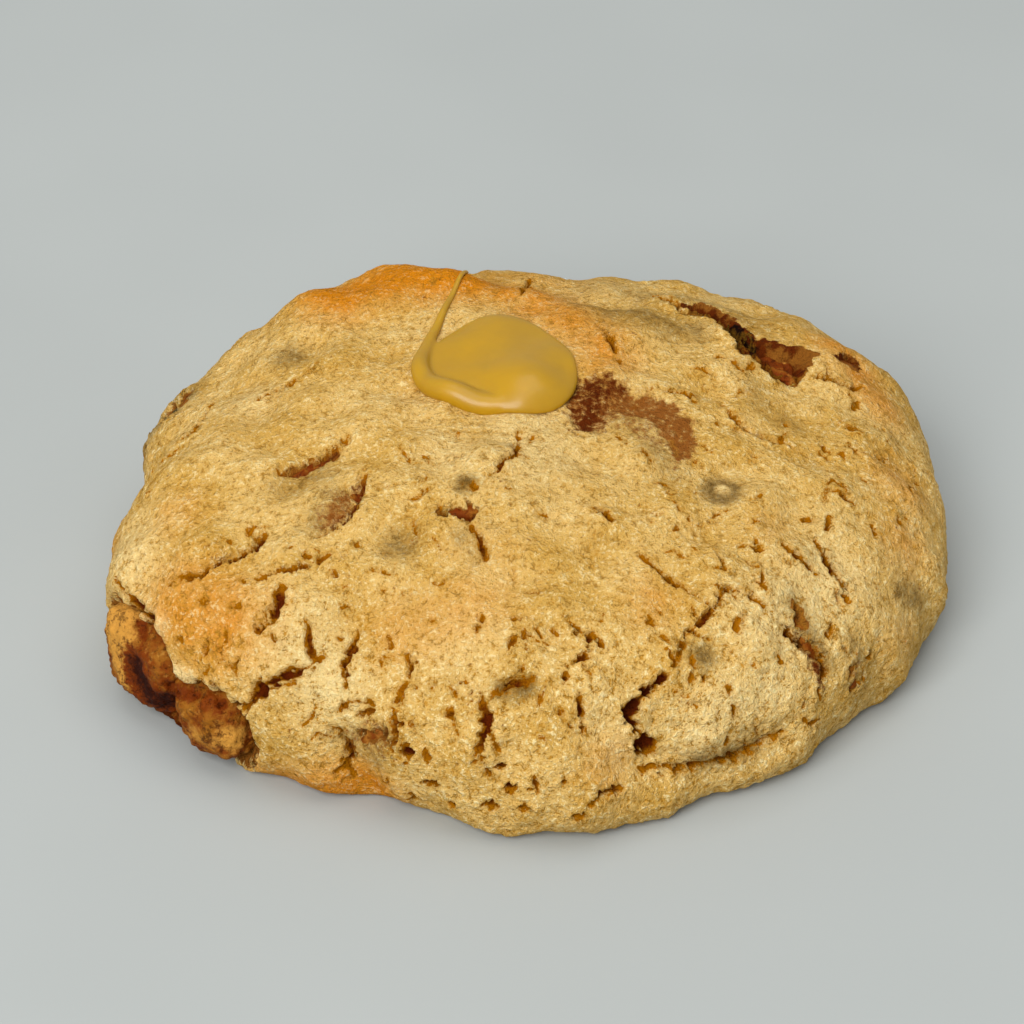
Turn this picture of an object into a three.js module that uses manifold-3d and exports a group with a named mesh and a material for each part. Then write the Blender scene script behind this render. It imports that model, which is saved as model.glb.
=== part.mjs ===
// A thick home-baked cookie with chocolate pieces and a drop of caramel on top, at real size.
//
// Millimetres, +Z up. The origin is on the table under the middle of the cookie, +X runs to its right and +Y to
// its back. The dough is one solid: a lopsided dome with a tucked-in foot, low swells and folds, and cracks cut
// into its crust. Chocolate pieces sit in pockets of the dough, and the caramel lies in a shallow seat on the crown.
//
// A place on the crust is given as [x, y] on its flattened map: millimetres along the crust from the crown, to the
// right and to the back. The foot of the side wall is about 53 mm from the crown.
import * as THREE from "three";
import { mergeVertices } from "three/addons/utils/BufferGeometryUtils.js";
import Module from "manifold-3d";

const wasm = await Module();
wasm.setup();

// Sizes of the dome
const HEIGHT = 21.5; // crown above the table, without the swells
const WIDEST_AT = 6.5; // height at which the side wall is widest
const FOOT_SHARE = 0.9; // radius of the foot over the widest radius
const DOME_POWER = 2.25; // 2 is an ellipsoid, more is a flatter top with steeper sides
const MEAN_RADIUS = 38.5;
const CROWN = [-2, 5]; // where the crown stands, seen from above
// Widest radius in 16 directions, from +X towards the back
const OUTLINE = [40.5, 40, 37, 30.5, 30.5, 32, 34, 35, 36, 41, 40, 37, 39, 37.5, 39, 40.5];

// Mesh of the crust
const RINGS = 27;
const SHORTEST_EDGE = 0.4;
const LEAST_FACING = 0.4; // cosine of the most that a triangle may turn when an edge is drawn together
const FOOT_FADE = 0.05; // last share of the way down in which the swells die out

// Gap round every piece that is set into the dough
const CLEARANCE = 0.3;

const DOUGH_COLOR = 0xdcab5c;
const CHOCOLATE_COLOR = 0x5f3018;
const MILK_CHOCOLATE_COLOR = 0x9a6430;
const CARAMEL_COLOR = 0xc99a3a;

// Swells and folds of the crust: how far they spread to each side, how far they rise, and their route
const SWELLS = [
  { spread: 4, rise: 1.3, route: [[-19, 14], [-11, 17], [-3, 15], [4, 11], [10, 7]] }, // browned crest
  { spread: 4, rise: 1.0, route: [[-17, 16], [-10, 18]] }, // its left end
  { spread: 2.5, rise: -0.8, route: [[-4, 20], [4, 17], [12, 13]] }, // dip behind the crest
  { spread: 5, rise: 0.6, route: [[0, 24], [10, 21]] }, // back of the dome
  { spread: 3.5, rise: 2.0, route: [[28, 12], [35, 9]] }, // heave behind the great crack
  { spread: 3.5, rise: 0.9, route: [[15, 12], [22, 8], [29, 4]] }, // heave before it
  { spread: 4.5, rise: 0.7, route: [[-8, -16]] },
  { spread: 4, rise: 0.8, route: [[-29, -6], [-34, -14]] }, // left shoulder
  { spread: 4.5, rise: 0.9, route: [[-30, -24], [-24, -28]] },
  { spread: 3.5, rise: 1.5, route: [[-37, 8]] }, // left end
  { spread: 6, rise: 0.6, route: [[37, -8]] }, // right shoulder
  { spread: 6, rise: 0.8, route: [[20, -31]] }, // plate of crust between cracks
  { spread: 4, rise: 0.7, route: [[-31, -38], [-22, -44]] }, // lower left lobe
  { spread: 1.5, rise: -1.0, route: [[-18, -39], [-18, -49]] }, // fold beside that lobe
  { spread: 1.2, rise: -0.9, route: [[11, -42], [20, -41], [28, -36]] }, // crease over the lip
  { spread: 3, rise: 0.8, route: [[8, -48], [20, -46], [32, -39]] }, // lip along the foot
];

// Fine unevenness all over: waves in directions that spread evenly, each a little shorter than the one before
const WAVES = 12;
const WAVE_RISE = 0.11;
const LONGEST_WAVE = 15;
const SHORTEST_WAVE = 5;
const GOLDEN_ANGLE = Math.PI * (3 - Math.sqrt(5));

// Cracks of the crust: width at the top, depth and route
const CRACKS = [
  { width: 2.2, depth: 2.8, route: [[14, 14.5], [16.5, 11.5], [19.5, 9.3], [22.5, 6.2], [24.5, 4]] },
  { width: 4.6, depth: 4.0, route: [[19.5, 9.2], [22.5, 7.4], [26, 5.3], [29, 4.2], [31, 4.6]] },
  { width: 1.2, depth: 1.6, route: [[28.5, 4], [31, 6.3], [35, 7.6]] },
  { width: 0.8, depth: 1.2, route: [[2, 20], [2, 16], [1.5, 12]] },
  { width: 0.7, depth: 1.0, route: [[9, 7], [10, 4], [11, 1]] },
  { width: 0.8, depth: 1.1, route: [[20.5, -2.5], [22, -5], [25, -6.2], [28, -7]] },
  { width: 0.7, depth: 0.9, route: [[29, 3], [31, 1], [35, 2.5]] },
  { width: 0.9, depth: 1.2, route: [[-33, -2], [-30.5, -1.5], [-29, 3.5]] },
  { width: 0.8, depth: 1.2, route: [[1.5, -9], [1, -12.5], [-2, -16.5]] },
  { width: 1.2, depth: 1.5, route: [[-2.5, -19], [-3, -21], [-2, -24.5]] },
  { width: 1.4, depth: 1.6, route: [[-22.5, -18], [-24, -20.5], [-27.5, -21.2], [-30.5, -21.8]] },
  { width: 1.8, depth: 1.8, route: [[-20, -24.5], [-21.5, -26.5], [-23.5, -28]] },
  { width: 1.5, depth: 2.0, route: [[-29, -33.5], [-25.5, -33], [-22.5, -32.5], [-19, -32.5]] },
  { width: 1.2, depth: 1.4, route: [[-14.5, -30], [-15.5, -32.5], [-16, -35.5]] },
  { width: 1.1, depth: 1.3, route: [[-11, -33], [-11, -37]] },
  { width: 1.2, depth: 1.4, route: [[-3, -36], [-2.5, -39], [-3.5, -42.5]] },
  { width: 1.0, depth: 1.1, route: [[-1.5, -37.5], [0, -35.8], [3, -36]] },
  { width: 0.9, depth: 1.0, route: [[7, -32.5], [5.5, -34.5], [4, -36]] },
  { width: 0.9, depth: 1.0, route: [[6, -36.5], [6.2, -38.5], [6.5, -40.5]] },
  { width: 1.9, depth: 2.4, route: [[14.5, -33], [12.5, -35.5], [11, -37], [12.3, -39], [14.5, -41]] },
  { width: 1.0, depth: 1.3, route: [[15, -32.5], [16, -30], [18.5, -27.5], [19.5, -25.5], [21.5, -25], [24, -26.3]] },
  { width: 1.3, depth: 1.5, route: [[24.5, -26.8], [27.5, -28], [31, -30]] },
  { width: 0.7, depth: 0.9, route: [[12, -23], [15, -25.2], [18, -27]] },
  { width: 1.3, depth: 1.3, route: [[28.5, -17.5], [30.5, -20], [32, -22.5]] },
  { width: 0.9, depth: 1.1, route: [[25, -19.2], [28.5, -21]] },
  { width: 0.8, depth: 1.0, route: [[29.8, -14.5], [29.6, -16.5]] },
  { width: 1.3, depth: 1.3, route: [[9, -44.2], [13, -42.4], [18.5, -41], [24.5, -38.8], [28, -35.6]] },
  { width: 2.2, depth: 2.2, route: [[-38, -18], [-37.5, -22], [-36, -26], [-33.5, -30.5], [-29, -33.5]] },
  { width: 0.9, depth: 1.0, route: [[-24, 0.5], [-21, 1.5], [-18, 3]] },
];
const CUT_ABOVE = 0.7; // how far a crack's cutter stands over the crust
const CUT_STEP = 1.9; // distance between its sections

// Short wide tears near the foot: place, diameter and depth
const TEARS = [
  { place: [-9.5, -44], across: 2.2, depth: 1.4 },
  { place: [-3.5, -47.2], across: 1.8, depth: 1.2 },
  { place: [-1.6, -45], across: 1.6, depth: 1.1 },
  { place: [-11.5, -41], across: 2.2, depth: 1.4 },
  { place: [23, -20.5], across: 1.3, depth: 0.8 },
];

// Chocolate pieces: place on the crust, how far the middle lies under it, length, width and depth, and the turn in
// degrees of the length from the crust's own rightward direction
const CHOCOLATE = [
  { name: "chunk_corner_high", place: [-41, -24.3], sink: 2.9, size: [13, 10, 8.5], turn: 112, milk: true },
  { name: "chunk_corner_low", place: [-34.8, -33.6], sink: 2.7, size: [10, 9, 8], turn: 140, milk: false },
  { name: "chunk_great_crack", place: [25.6, 5.6], sink: 3.0, size: [8.5, 5.2, 4.4], turn: -25, milk: false },
  { name: "chip_crack_end", place: [32.3, 7.6], sink: 1.4, size: [4.2, 2.8, 3], turn: 10, milk: false },
  { name: "chunk_by_drop", place: [12.3, -5.4], sink: 1.9, size: [13, 8, 4.8], turn: -22, milk: false },
  { name: "chip_slant", place: [-15.3, -17], sink: 1.8, size: [7.6, 3.6, 4], turn: 62, milk: false },
  { name: "chip_slit", place: [-18.5, -10.8], sink: 1.6, size: [6, 2.2, 3.4], turn: 14, milk: false },
  { name: "chip_hollow", place: [-4, -18.4], sink: 1.8, size: [4.6, 3.4, 3.8], turn: 5, milk: false },
  { name: "chip_front", place: [-15, -39], sink: 1.7, size: [6.6, 3.6, 3.8], turn: 12, milk: false },
  { name: "chip_plate", place: [28.6, -27.4], sink: 1.5, size: [6.4, 2.6, 3.4], turn: -50, milk: false },
  { name: "chip_right", place: [34.6, -28], sink: 1.5, size: [4, 3, 3.4], turn: -60, milk: false },
  { name: "chip_left_end", place: [-34.2, 8.4], sink: 1.6, size: [6.5, 3, 3.6], turn: 30, milk: false },
];
const CHOCOLATE_DETAIL = 2; // of the icosahedron that it starts as, one less where it is small
const SMALL_CHOCOLATE = 7;
const CHOCOLATE_SQUARENESS = 0.62; // exponent that turns a ball into a blunt block, 1 leaves it a ball
const LOWEST_CHOCOLATE = 0.4; // nothing but the dough reaches the table

// The caramel: a flat pool with a rounded bead along its left and front edge, drawn out into a thread
const POOL_PLACE = [-0.2, 0.3];
const POOL_OUTLINE = [7.1, 6.7, 8, 7.7, 7, 7.6, 7.5, 7.8]; // radius in 8 directions, from +X towards the back
const POOL_THICKNESS = 1.1;
const POOL_SWELL = { place: [2.6, -2.6], spread: 3.6, rise: 1.1 };
const POOL_DEPTH = 0.5; // how far its underside is sunk into the crust
const POOL_RINGS = 7;
const BEAD_ROUTE = [
  [-3.8, 16.5], [-5, 12.5], [-5.8, 8.5], [-7.2, 3.5], [-7.9, -0.5], [-6.8, -3.9], [-3.4, -5.6], [0.5, -6],
];
const BEAD_RADII = [0.34, 0.42, 0.5, 0.72, 1.05, 1.25, 1.2, 0.7];
const BEAD_LIFT = 0.25; // its centre line over the crust, in its own radii
const BEAD_SIDES = 8;
const BEAD_STATIONS = 22;

const sum = (values) => values.reduce((a, b) => a + b, 0);

// A closed curve's radius at an angle, smooth through values at equal steps.
function radiusAt(values, angle) {
  const n = values.length;
  const turn = ((((angle / (2 * Math.PI)) * n) % n) + n) % n;
  const i = Math.floor(turn);
  const f = turn - i;
  const [a, b, c, d] = [i - 1, i, i + 1, i + 2].map((k) => values[(k + n) % n]);
  return b + 0.5 * f * (c - a + f * (2 * a - 5 * b + 4 * c - d + f * (3 * (b - c) + d - a)));
}

// The dome's profile from crown to foot, as reach (share of the widest radius) and height, against the length
// walked along it.
function domeProfile() {
  const points = [];
  const steps = 300;
  for (let i = 0; i <= steps; i++) {
    const angle = (i / steps) * (Math.PI / 2);
    points.push({
      reach: Math.sin(angle) ** (2 / DOME_POWER),
      height: WIDEST_AT + (HEIGHT - WIDEST_AT) * Math.max(0, Math.cos(angle)) ** (2 / DOME_POWER),
    });
  }
  for (let i = 1; i <= steps; i++) {
    const angle = (i / steps) * (Math.PI / 2);
    points.push({
      reach: FOOT_SHARE + (1 - FOOT_SHARE) * Math.cos(angle),
      height: WIDEST_AT * (1 - Math.sin(angle)),
    });
  }
  points[0].walked = 0;
  for (let i = 1; i < points.length; i++) {
    const [a, b] = [points[i - 1], points[i]];
    b.walked = a.walked + Math.hypot((b.reach - a.reach) * MEAN_RADIUS, b.height - a.height);
  }
  return points;
}

const PROFILE = domeProfile();
const WALK = PROFILE[PROFILE.length - 1].walked;

// Reach and height at a share of the way from crown to foot.
function profileAt(share) {
  const goal = Math.min(Math.max(share, 0), 1) * WALK;
  let low = 0;
  let high = PROFILE.length - 1;
  while (high - low > 1) {
    const middle = (low + high) >> 1;
    if (PROFILE[middle].walked <= goal) low = middle;
    else high = middle;
  }
  const [a, b] = [PROFILE[low], PROFILE[high]];
  const f = (goal - a.walked) / Math.max(b.walked - a.walked, 1e-9);
  return { reach: a.reach + (b.reach - a.reach) * f, height: a.height + (b.height - a.height) * f };
}

// How far it is from crown to foot along the crust, in a direction.
const walkTowards = (angle) => (WALK * radiusAt(OUTLINE, angle)) / MEAN_RADIUS;

// The dome without swells, at a place on the map.
function domeAt(x, y) {
  const angle = Math.atan2(y, x);
  const share = Math.min(1, Math.hypot(x, y) / walkTowards(angle));
  const { reach, height } = profileAt(share);
  const radius = radiusAt(OUTLINE, angle) * reach;
  const lean = 1 - share * share;
  return new THREE.Vector3(
    CROWN[0] * lean + radius * Math.cos(angle),
    CROWN[1] * lean + radius * Math.sin(angle),
    height,
  );
}

// The dome's outward direction at a place on the map.
function outwardAt(x, y) {
  const h = 0.2;
  const inside = 1 - h / 20; // keeps both samples on the crust at the very foot
  const [u, v] = [x * inside, y * inside];
  const alongX = domeAt(u + h, v).sub(domeAt(u - h, v));
  const alongY = domeAt(u, v + h).sub(domeAt(u, v - h));
  return alongX.cross(alongY).normalize();
}

// Places along a route on the map, at most a step apart, each with its share of the way.
function placesAlong(route, step) {
  const spans = route.slice(1).map(([x, y], i) => Math.hypot(x - route[i][0], y - route[i][1]));
  const length = sum(spans);
  const places = [];
  let walked = 0;
  spans.forEach((span, i) => {
    const count = Math.max(1, Math.ceil(span / step));
    for (let k = 0; k < count; k++) {
      const f = k / count;
      const x = route[i][0] + (route[i + 1][0] - route[i][0]) * f;
      const y = route[i][1] + (route[i + 1][1] - route[i][1]) * f;
      places.push({ x, y, share: (walked + span * f) / length });
    }
    walked += span;
  });
  const [x, y] = route[route.length - 1];
  places.push({ x, y, share: 1 });
  return places;
}

const SWELL_POINTS = SWELLS.map(({ route }) => placesAlong(route, 0.5).map(({ x, y }) => domeAt(x, y)));

// How far the swells lift the crust at a point of the dome.
function riseAt(point) {
  return sum(
    SWELLS.map(({ spread, rise }, i) => {
      const near = Math.min(...SWELL_POINTS[i].map((p) => p.distanceToSquared(point)));
      return rise * Math.exp(-near / (2 * spread * spread));
    }),
  );
}

// How far the fine unevenness lifts the crust at a point of the dome.
function unevennessAt(point) {
  let rise = 0;
  for (let i = 0; i < WAVES; i++) {
    const up = 1 - (i + 0.5) / WAVES;
    const flat = Math.sqrt(1 - up * up);
    const direction = new THREE.Vector3(flat * Math.cos(i * GOLDEN_ANGLE), flat * Math.sin(i * GOLDEN_ANGLE), up);
    const length = LONGEST_WAVE * (SHORTEST_WAVE / LONGEST_WAVE) ** (i / (WAVES - 1));
    rise += WAVE_RISE * Math.sin((2 * Math.PI * direction.dot(point)) / length + i);
  }
  return rise;
}

// A point of the crust, or one at some lift over it, from its place on the map.
function crustAt(x, y, lift = 0) {
  const point = domeAt(x, y);
  const share = Math.min(1, Math.hypot(x, y) / walkTowards(Math.atan2(y, x)));
  const fade = Math.min(1, (1 - share) / FOOT_FADE);
  point.addScaledVector(outwardAt(x, y), (riseAt(point) + unevennessAt(point)) * fade + lift);
  return point;
}

// A geometry from points and the corners of its triangles.
function geometryOf(points, corners) {
  const geometry = new THREE.BufferGeometry();
  geometry.setFromPoints(points);
  geometry.setIndex(corners);
  return geometry;
}

// A solid for joining and cutting, from a closed geometry.
function solidOf(geometry) {
  const bare = geometry.index ? geometry.toNonIndexed() : geometry.clone();
  bare.deleteAttribute("normal");
  bare.deleteAttribute("uv");
  const merged = mergeVertices(bare, 1e-4);
  return new wasm.Manifold(
    new wasm.Mesh({
      numProp: 3,
      vertProperties: new Float32Array(merged.attributes.position.array),
      triVerts: new Uint32Array(merged.index.array),
    }),
  );
}

// Draws the two ends of every short edge together, shortest first, wherever the surface stays closed and no
// triangle turns over. Cuts leave many such edges, too fine to see.
function withoutShortEdges(points, triangles) {
  const around = points.map(() => new Set());
  triangles.forEach((triangle, t) => triangle.forEach((corner) => around[corner].add(t)));
  const facing = ([a, b, c]) => {
    const ab = points[b].clone().sub(points[a]);
    return ab.cross(points[c].clone().sub(points[a])).normalize();
  };
  const neighbours = (v) => new Set([...around[v]].flatMap((t) => triangles[t]).filter((w) => w !== v));
  const canMove = (from, to) => {
    const shared = [...neighbours(from)].filter((v) => neighbours(to).has(v));
    if (shared.length !== 2) return false;
    return [...around[from]].every((t) => {
      const triangle = triangles[t];
      if (triangle.includes(to)) return true;
      const moved = triangle.map((v) => (v === from ? to : v));
      return facing(triangle).dot(facing(moved)) > LEAST_FACING;
    });
  };
  const move = (from, to) => {
    for (const t of around[from]) {
      if (triangles[t].includes(to)) {
        triangles[t].forEach((v) => v !== from && around[v].delete(t));
        triangles[t] = null;
      } else {
        triangles[t] = triangles[t].map((v) => (v === from ? to : v));
        around[to].add(t);
      }
    }
    around[from].clear();
  };
  const length = ([a, b]) => points[a].distanceTo(points[b]);
  for (let moves = 1; moves > 0; ) {
    moves = 0;
    const edges = triangles
      .filter(Boolean)
      .flatMap(([a, b, c]) => [[a, b], [b, c], [c, a]])
      .filter(([a, b]) => a < b && points[a].distanceTo(points[b]) < SHORTEST_EDGE)
      .sort((p, q) => length(p) - length(q));
    for (const [a, b] of edges) {
      if (!around[a].size || !around[b].size || !neighbours(a).has(b)) continue;
      if (canMove(b, a)) move(b, a);
      else if (canMove(a, b)) move(a, b);
      else continue;
      moves++;
    }
  }
  return triangles.filter(Boolean);
}

// The geometry of a solid, of its largest body where a cut has left crumbs.
function geometryFrom(solid) {
  const bodies = solid.decompose().sort((a, b) => b.volume() - a.volume());
  const { vertProperties, triVerts } = bodies[0].getMesh();
  const points = [];
  for (let i = 0; i < vertProperties.length; i += 3) {
    points.push(new THREE.Vector3(vertProperties[i], vertProperties[i + 1], vertProperties[i + 2]));
  }
  const triangles = [];
  for (let i = 0; i < triVerts.length; i += 3) triangles.push([...triVerts.slice(i, i + 3)]);
  return geometryOf(points, withoutShortEdges(points, triangles).flat());
}

// Corners of a disc of rings, where ring k has 6 k points and ring 0 is the middle point.
function discCorners(rings, first = 0) {
  const start = (k) => first + (k === 0 ? 0 : 1 + 3 * k * (k - 1));
  const point = (k, i) => start(k) + (k === 0 ? 0 : i % (6 * k));
  const corners = [];
  for (let k = 1; k <= rings; k++)
    for (let side = 0; side < 6; side++)
      for (let i = 0; i < k; i++) {
        const inner = side * (k - 1) + i;
        corners.push(point(k, side * k + i), point(k, side * k + i + 1), point(k - 1, inner));
        if (i < k - 1) corners.push(point(k - 1, inner), point(k, side * k + i + 1), point(k - 1, inner + 1));
      }
  return corners;
}

// The places of that disc's points, as an angle and a share of the way out.
function discPlaces(rings) {
  const places = [{ angle: 0, share: 0 }];
  for (let k = 1; k <= rings; k++)
    for (let i = 0; i < 6 * k; i++) places.push({ angle: (2 * Math.PI * i) / (6 * k), share: k / rings });
  return places;
}

// The dough before anything is cut: the crust over a flat base.
function wholeDough() {
  const points = discPlaces(RINGS).map(({ angle, share }) => {
    const walked = share * walkTowards(angle);
    const point = crustAt(walked * Math.cos(angle), walked * Math.sin(angle));
    point.z = share === 1 ? 0 : Math.max(point.z, 0.05);
    return point;
  });
  const corners = discCorners(RINGS);
  const rim = 6 * RINGS;
  const firstOnRim = points.length - rim;
  const middle = points.length;
  points.push(new THREE.Vector3(0, 0, 0));
  for (let i = 0; i < rim; i++) corners.push(middle, firstOnRim + ((i + 1) % rim), firstOnRim + i);
  return solidOf(geometryOf(points, corners));
}

// A wedge that cuts one crack: it wavers, and runs out to a point at both ends.
function crackCutter({ width, depth, route }, index) {
  const places = placesAlong(route, CUT_STEP);
  const points = [];
  const corners = [];
  const last = places.length - 1;
  places.forEach(({ x, y, share }, i) => {
    if (i === 0 || i === last) {
      points.push(crustAt(x, y, 0.1));
      return;
    }
    const [before, after] = [places[i - 1], places[i + 1]];
    const waver = 0.85 + 0.3 * Math.sin(7.3 * i + 2.1 * index);
    const taper = Math.sin(Math.PI * share) ** 0.6;
    const deep = depth * taper;
    const half = ((width * waver * taper) / 2) * (1 + CUT_ABOVE / deep);
    const along = domeAt(after.x, after.y).sub(domeAt(before.x, before.y)).normalize();
    const outward = outwardAt(x, y);
    const side = new THREE.Vector3().crossVectors(outward, along).normalize();
    const top = crustAt(x, y, CUT_ABOVE);
    points.push(top.clone().addScaledVector(side, half));
    points.push(top.clone().addScaledVector(side, -half));
    points.push(crustAt(x, y, -deep));
  });
  const section = (i) => 1 + 3 * (i - 1);
  const end = points.length - 1;
  for (let k = 0; k < 3; k++) {
    const next = (k + 1) % 3;
    corners.push(0, section(1) + next, section(1) + k);
    corners.push(end, section(last - 1) + k, section(last - 1) + next);
    for (let i = 1; i < last - 1; i++) {
      const [a, b] = [section(i), section(i + 1)];
      corners.push(a + k, a + next, b + k, b + k, a + next, b + next);
    }
  }
  return solidOf(geometryOf(points, corners));
}

// A blunt uneven lump that stands across the crust at a place: its long way, wide way and deep way.
function lumpGeometry({ place, sink, size, turn }, grow, seed) {
  const geometry = new THREE.IcosahedronGeometry(1, CHOCOLATE_DETAIL - (size[0] < SMALL_CHOCOLATE ? 1 : 0));
  const position = geometry.attributes.position;
  const outward = outwardAt(...place);
  const right = domeAt(place[0] + 1, place[1]).sub(domeAt(place[0] - 1, place[1]));
  right.addScaledVector(outward, -right.dot(outward)).normalize().applyAxisAngle(outward, (turn * Math.PI) / 180);
  const across = new THREE.Vector3().crossVectors(outward, right);
  const frame = new THREE.Matrix4().makeBasis(right, across, outward).setPosition(crustAt(...place, -sink));
  for (let i = 0; i < position.count; i++) {
    const v = new THREE.Vector3().fromBufferAttribute(position, i);
    const uneven = 1 + 0.05 * Math.sin(3.1 * v.x + 2.3 * v.y + seed) + 0.04 * Math.cos(4.3 * v.z - 1.7 * v.x + seed);
    const blunt = (n, length) => Math.sign(n) * Math.abs(n) ** CHOCOLATE_SQUARENESS * (length / 2) * uneven;
    const reach = [v.x, v.y, v.z].map((n, axis) => blunt(n, size[axis]));
    const rounded = new THREE.Vector3(...reach).multiplyScalar(0.86);
    rounded.addScaledVector(v, grow);
    rounded.applyMatrix4(frame);
    position.setXYZ(i, rounded.x, rounded.y, rounded.z);
  }
  return geometry;
}

// A chocolate piece, or the pocket round it, clear of the table.
function lumpSolid(piece, index, grow) {
  const table = new THREE.BoxGeometry(200, 200, 20).translate(0, 0, LOWEST_CHOCOLATE - grow - 10);
  return solidOf(lumpGeometry(piece, grow, index)).subtract(solidOf(table));
}

// A chocolate piece, with room left for the caramel and for every piece that comes before it.
function chocolateSolid(piece, index) {
  const solid = lumpSolid(piece, index, 0).subtract(caramelSolid(CLEARANCE));
  return CHOCOLATE.slice(0, index).reduce((rest, other, i) => rest.subtract(lumpSolid(other, i, CLEARANCE)), solid);
}

// How high the pool stands over the crust at an offset from its middle, at a share of its radius.
function poolHeight(x, y, share) {
  const { place, spread, rise } = POOL_SWELL;
  const far = Math.hypot(x - place[0], y - place[1]);
  const swell = rise * Math.exp(-(far * far) / (2 * spread * spread));
  return (POOL_THICKNESS + swell) * Math.sqrt(Math.max(0, 1 - share ** 4));
}

// The caramel's pool: a disc with a domed top and an underside that follows the crust.
function poolSolid(grow) {
  const places = discPlaces(POOL_RINGS).map(({ angle, share }) => {
    const eased = Math.sin((share * Math.PI) / 2);
    const radius = eased * (radiusAt(POOL_OUTLINE, angle) + grow);
    return { x: radius * Math.cos(angle), y: radius * Math.sin(angle), share: eased };
  });
  const over = ({ x, y, share }) => crustAt(POOL_PLACE[0] + x, POOL_PLACE[1] + y, poolHeight(x, y, share) + grow);
  const under = ({ x, y, share }) =>
    crustAt(POOL_PLACE[0] + x, POOL_PLACE[1] + y, -(POOL_DEPTH + grow) * Math.sqrt(Math.max(0, 1 - share ** 4)) - 0.01);
  const points = [...places.map(over), ...places.map(under)];
  const top = discCorners(POOL_RINGS);
  const bottom = discCorners(POOL_RINGS, places.length);
  for (let i = 0; i < bottom.length; i += 3) [bottom[i], bottom[i + 1]] = [bottom[i + 1], bottom[i]];
  const rim = 6 * POOL_RINGS;
  const firstOnRim = places.length - rim;
  const wall = [];
  for (let i = 0; i < rim; i++) {
    const [a, b] = [firstOnRim + i, firstOnRim + ((i + 1) % rim)];
    wall.push(a, a + places.length, b, b, a + places.length, b + places.length);
  }
  return solidOf(geometryOf(points, [...top, ...bottom, ...wall]));
}

// The caramel's bead and thread: a round strand that thickens along its route, with pointed ends.
function beadSolid(grow) {
  const route = new THREE.CatmullRomCurve3(BEAD_ROUTE.map(([x, y]) => new THREE.Vector3(x, y, 0)), false, "catmullrom");
  const stations = [];
  for (let i = 0; i <= BEAD_STATIONS; i++) {
    const share = i / BEAD_STATIONS;
    const along = share * (BEAD_RADII.length - 1);
    const k = Math.min(Math.floor(along), BEAD_RADII.length - 2);
    const radius = BEAD_RADII[k] + (BEAD_RADII[k + 1] - BEAD_RADII[k]) * (along - k);
    const { x, y } = route.getPoint(share);
    stations.push({ x, y, radius, centre: crustAt(x, y, radius * BEAD_LIFT) });
  }
  const points = [];
  const corners = [];
  stations.forEach(({ x, y, radius, centre }, i) => {
    const before = stations[Math.max(0, i - 1)].centre;
    const after = stations[Math.min(BEAD_STATIONS, i + 1)].centre;
    const along = after.clone().sub(before).normalize();
    const side = new THREE.Vector3().crossVectors(outwardAt(x, y), along).normalize();
    const up = new THREE.Vector3().crossVectors(along, side);
    for (let k = 0; k < BEAD_SIDES; k++) {
      const angle = (2 * Math.PI * k) / BEAD_SIDES;
      const point = centre.clone().addScaledVector(side, Math.cos(angle) * (radius + grow));
      points.push(point.addScaledVector(up, Math.sin(angle) * (radius + grow)));
    }
    if (i === 0) return;
    const [a, b] = [(i - 1) * BEAD_SIDES, i * BEAD_SIDES];
    for (let k = 0; k < BEAD_SIDES; k++) {
      const next = (k + 1) % BEAD_SIDES;
      corners.push(a + k, a + next, b + k, b + k, a + next, b + next);
    }
  });
  const [first, last] = [stations[0], stations[BEAD_STATIONS]];
  const outFrom = (end, inner) => {
    const way = end.centre.clone().sub(inner.centre).normalize();
    return end.centre.clone().addScaledVector(way, end.radius + grow);
  };
  const [tip, tail] = [points.length, points.length + 1];
  points.push(outFrom(first, stations[1]), outFrom(last, stations[BEAD_STATIONS - 1]));
  const lastRing = BEAD_STATIONS * BEAD_SIDES;
  for (let k = 0; k < BEAD_SIDES; k++) {
    const next = (k + 1) % BEAD_SIDES;
    corners.push(tip, next, k, tail, lastRing + k, lastRing + next);
  }
  return solidOf(geometryOf(points, corners));
}

const caramelSolid = (grow) => poolSolid(grow).add(beadSolid(grow));

// The pit that a short wide tear leaves.
function tearCutter({ place, across, depth }, index) {
  const pit = { place, sink: 0, size: [across, across * 1.3, depth * 2], turn: 40 * index };
  return solidOf(lumpGeometry(pit, 0, index));
}

// The dough with its cracks, its tears, the pockets of the chocolate and the seat of the caramel.
function doughGeometry() {
  let dough = wholeDough();
  CRACKS.forEach((crack, i) => (dough = dough.subtract(crackCutter(crack, i))));
  TEARS.forEach((tear, i) => (dough = dough.subtract(tearCutter(tear, i))));
  CHOCOLATE.forEach((piece, i) => (dough = dough.subtract(lumpSolid(piece, i, CLEARANCE))));
  dough = dough.subtract(caramelSolid(CLEARANCE));
  return geometryFrom(dough);
}

function named(name, geometry, color, roughness) {
  const mesh = new THREE.Mesh(geometry, new THREE.MeshStandardMaterial({ color, roughness, metalness: 0 }));
  mesh.name = name;
  return mesh;
}

const cookie = new THREE.Group();
cookie.add(named("dough", doughGeometry(), DOUGH_COLOR, 0.9));
CHOCOLATE.forEach((piece, i) => {
  const color = piece.milk ? MILK_CHOCOLATE_COLOR : CHOCOLATE_COLOR;
  cookie.add(named(piece.name, geometryFrom(chocolateSolid(piece, i)), color, 0.6));
});
cookie.add(named("caramel_drop", geometryFrom(caramelSolid(0)), CARAMEL_COLOR, 0.25));

// The middle of the cookie's box stands over the origin
const middle = new THREE.Box3().setFromObject(cookie).getCenter(new THREE.Vector3());
cookie.position.set(-middle.x, -middle.y, 0);

export default cookie;
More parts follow.
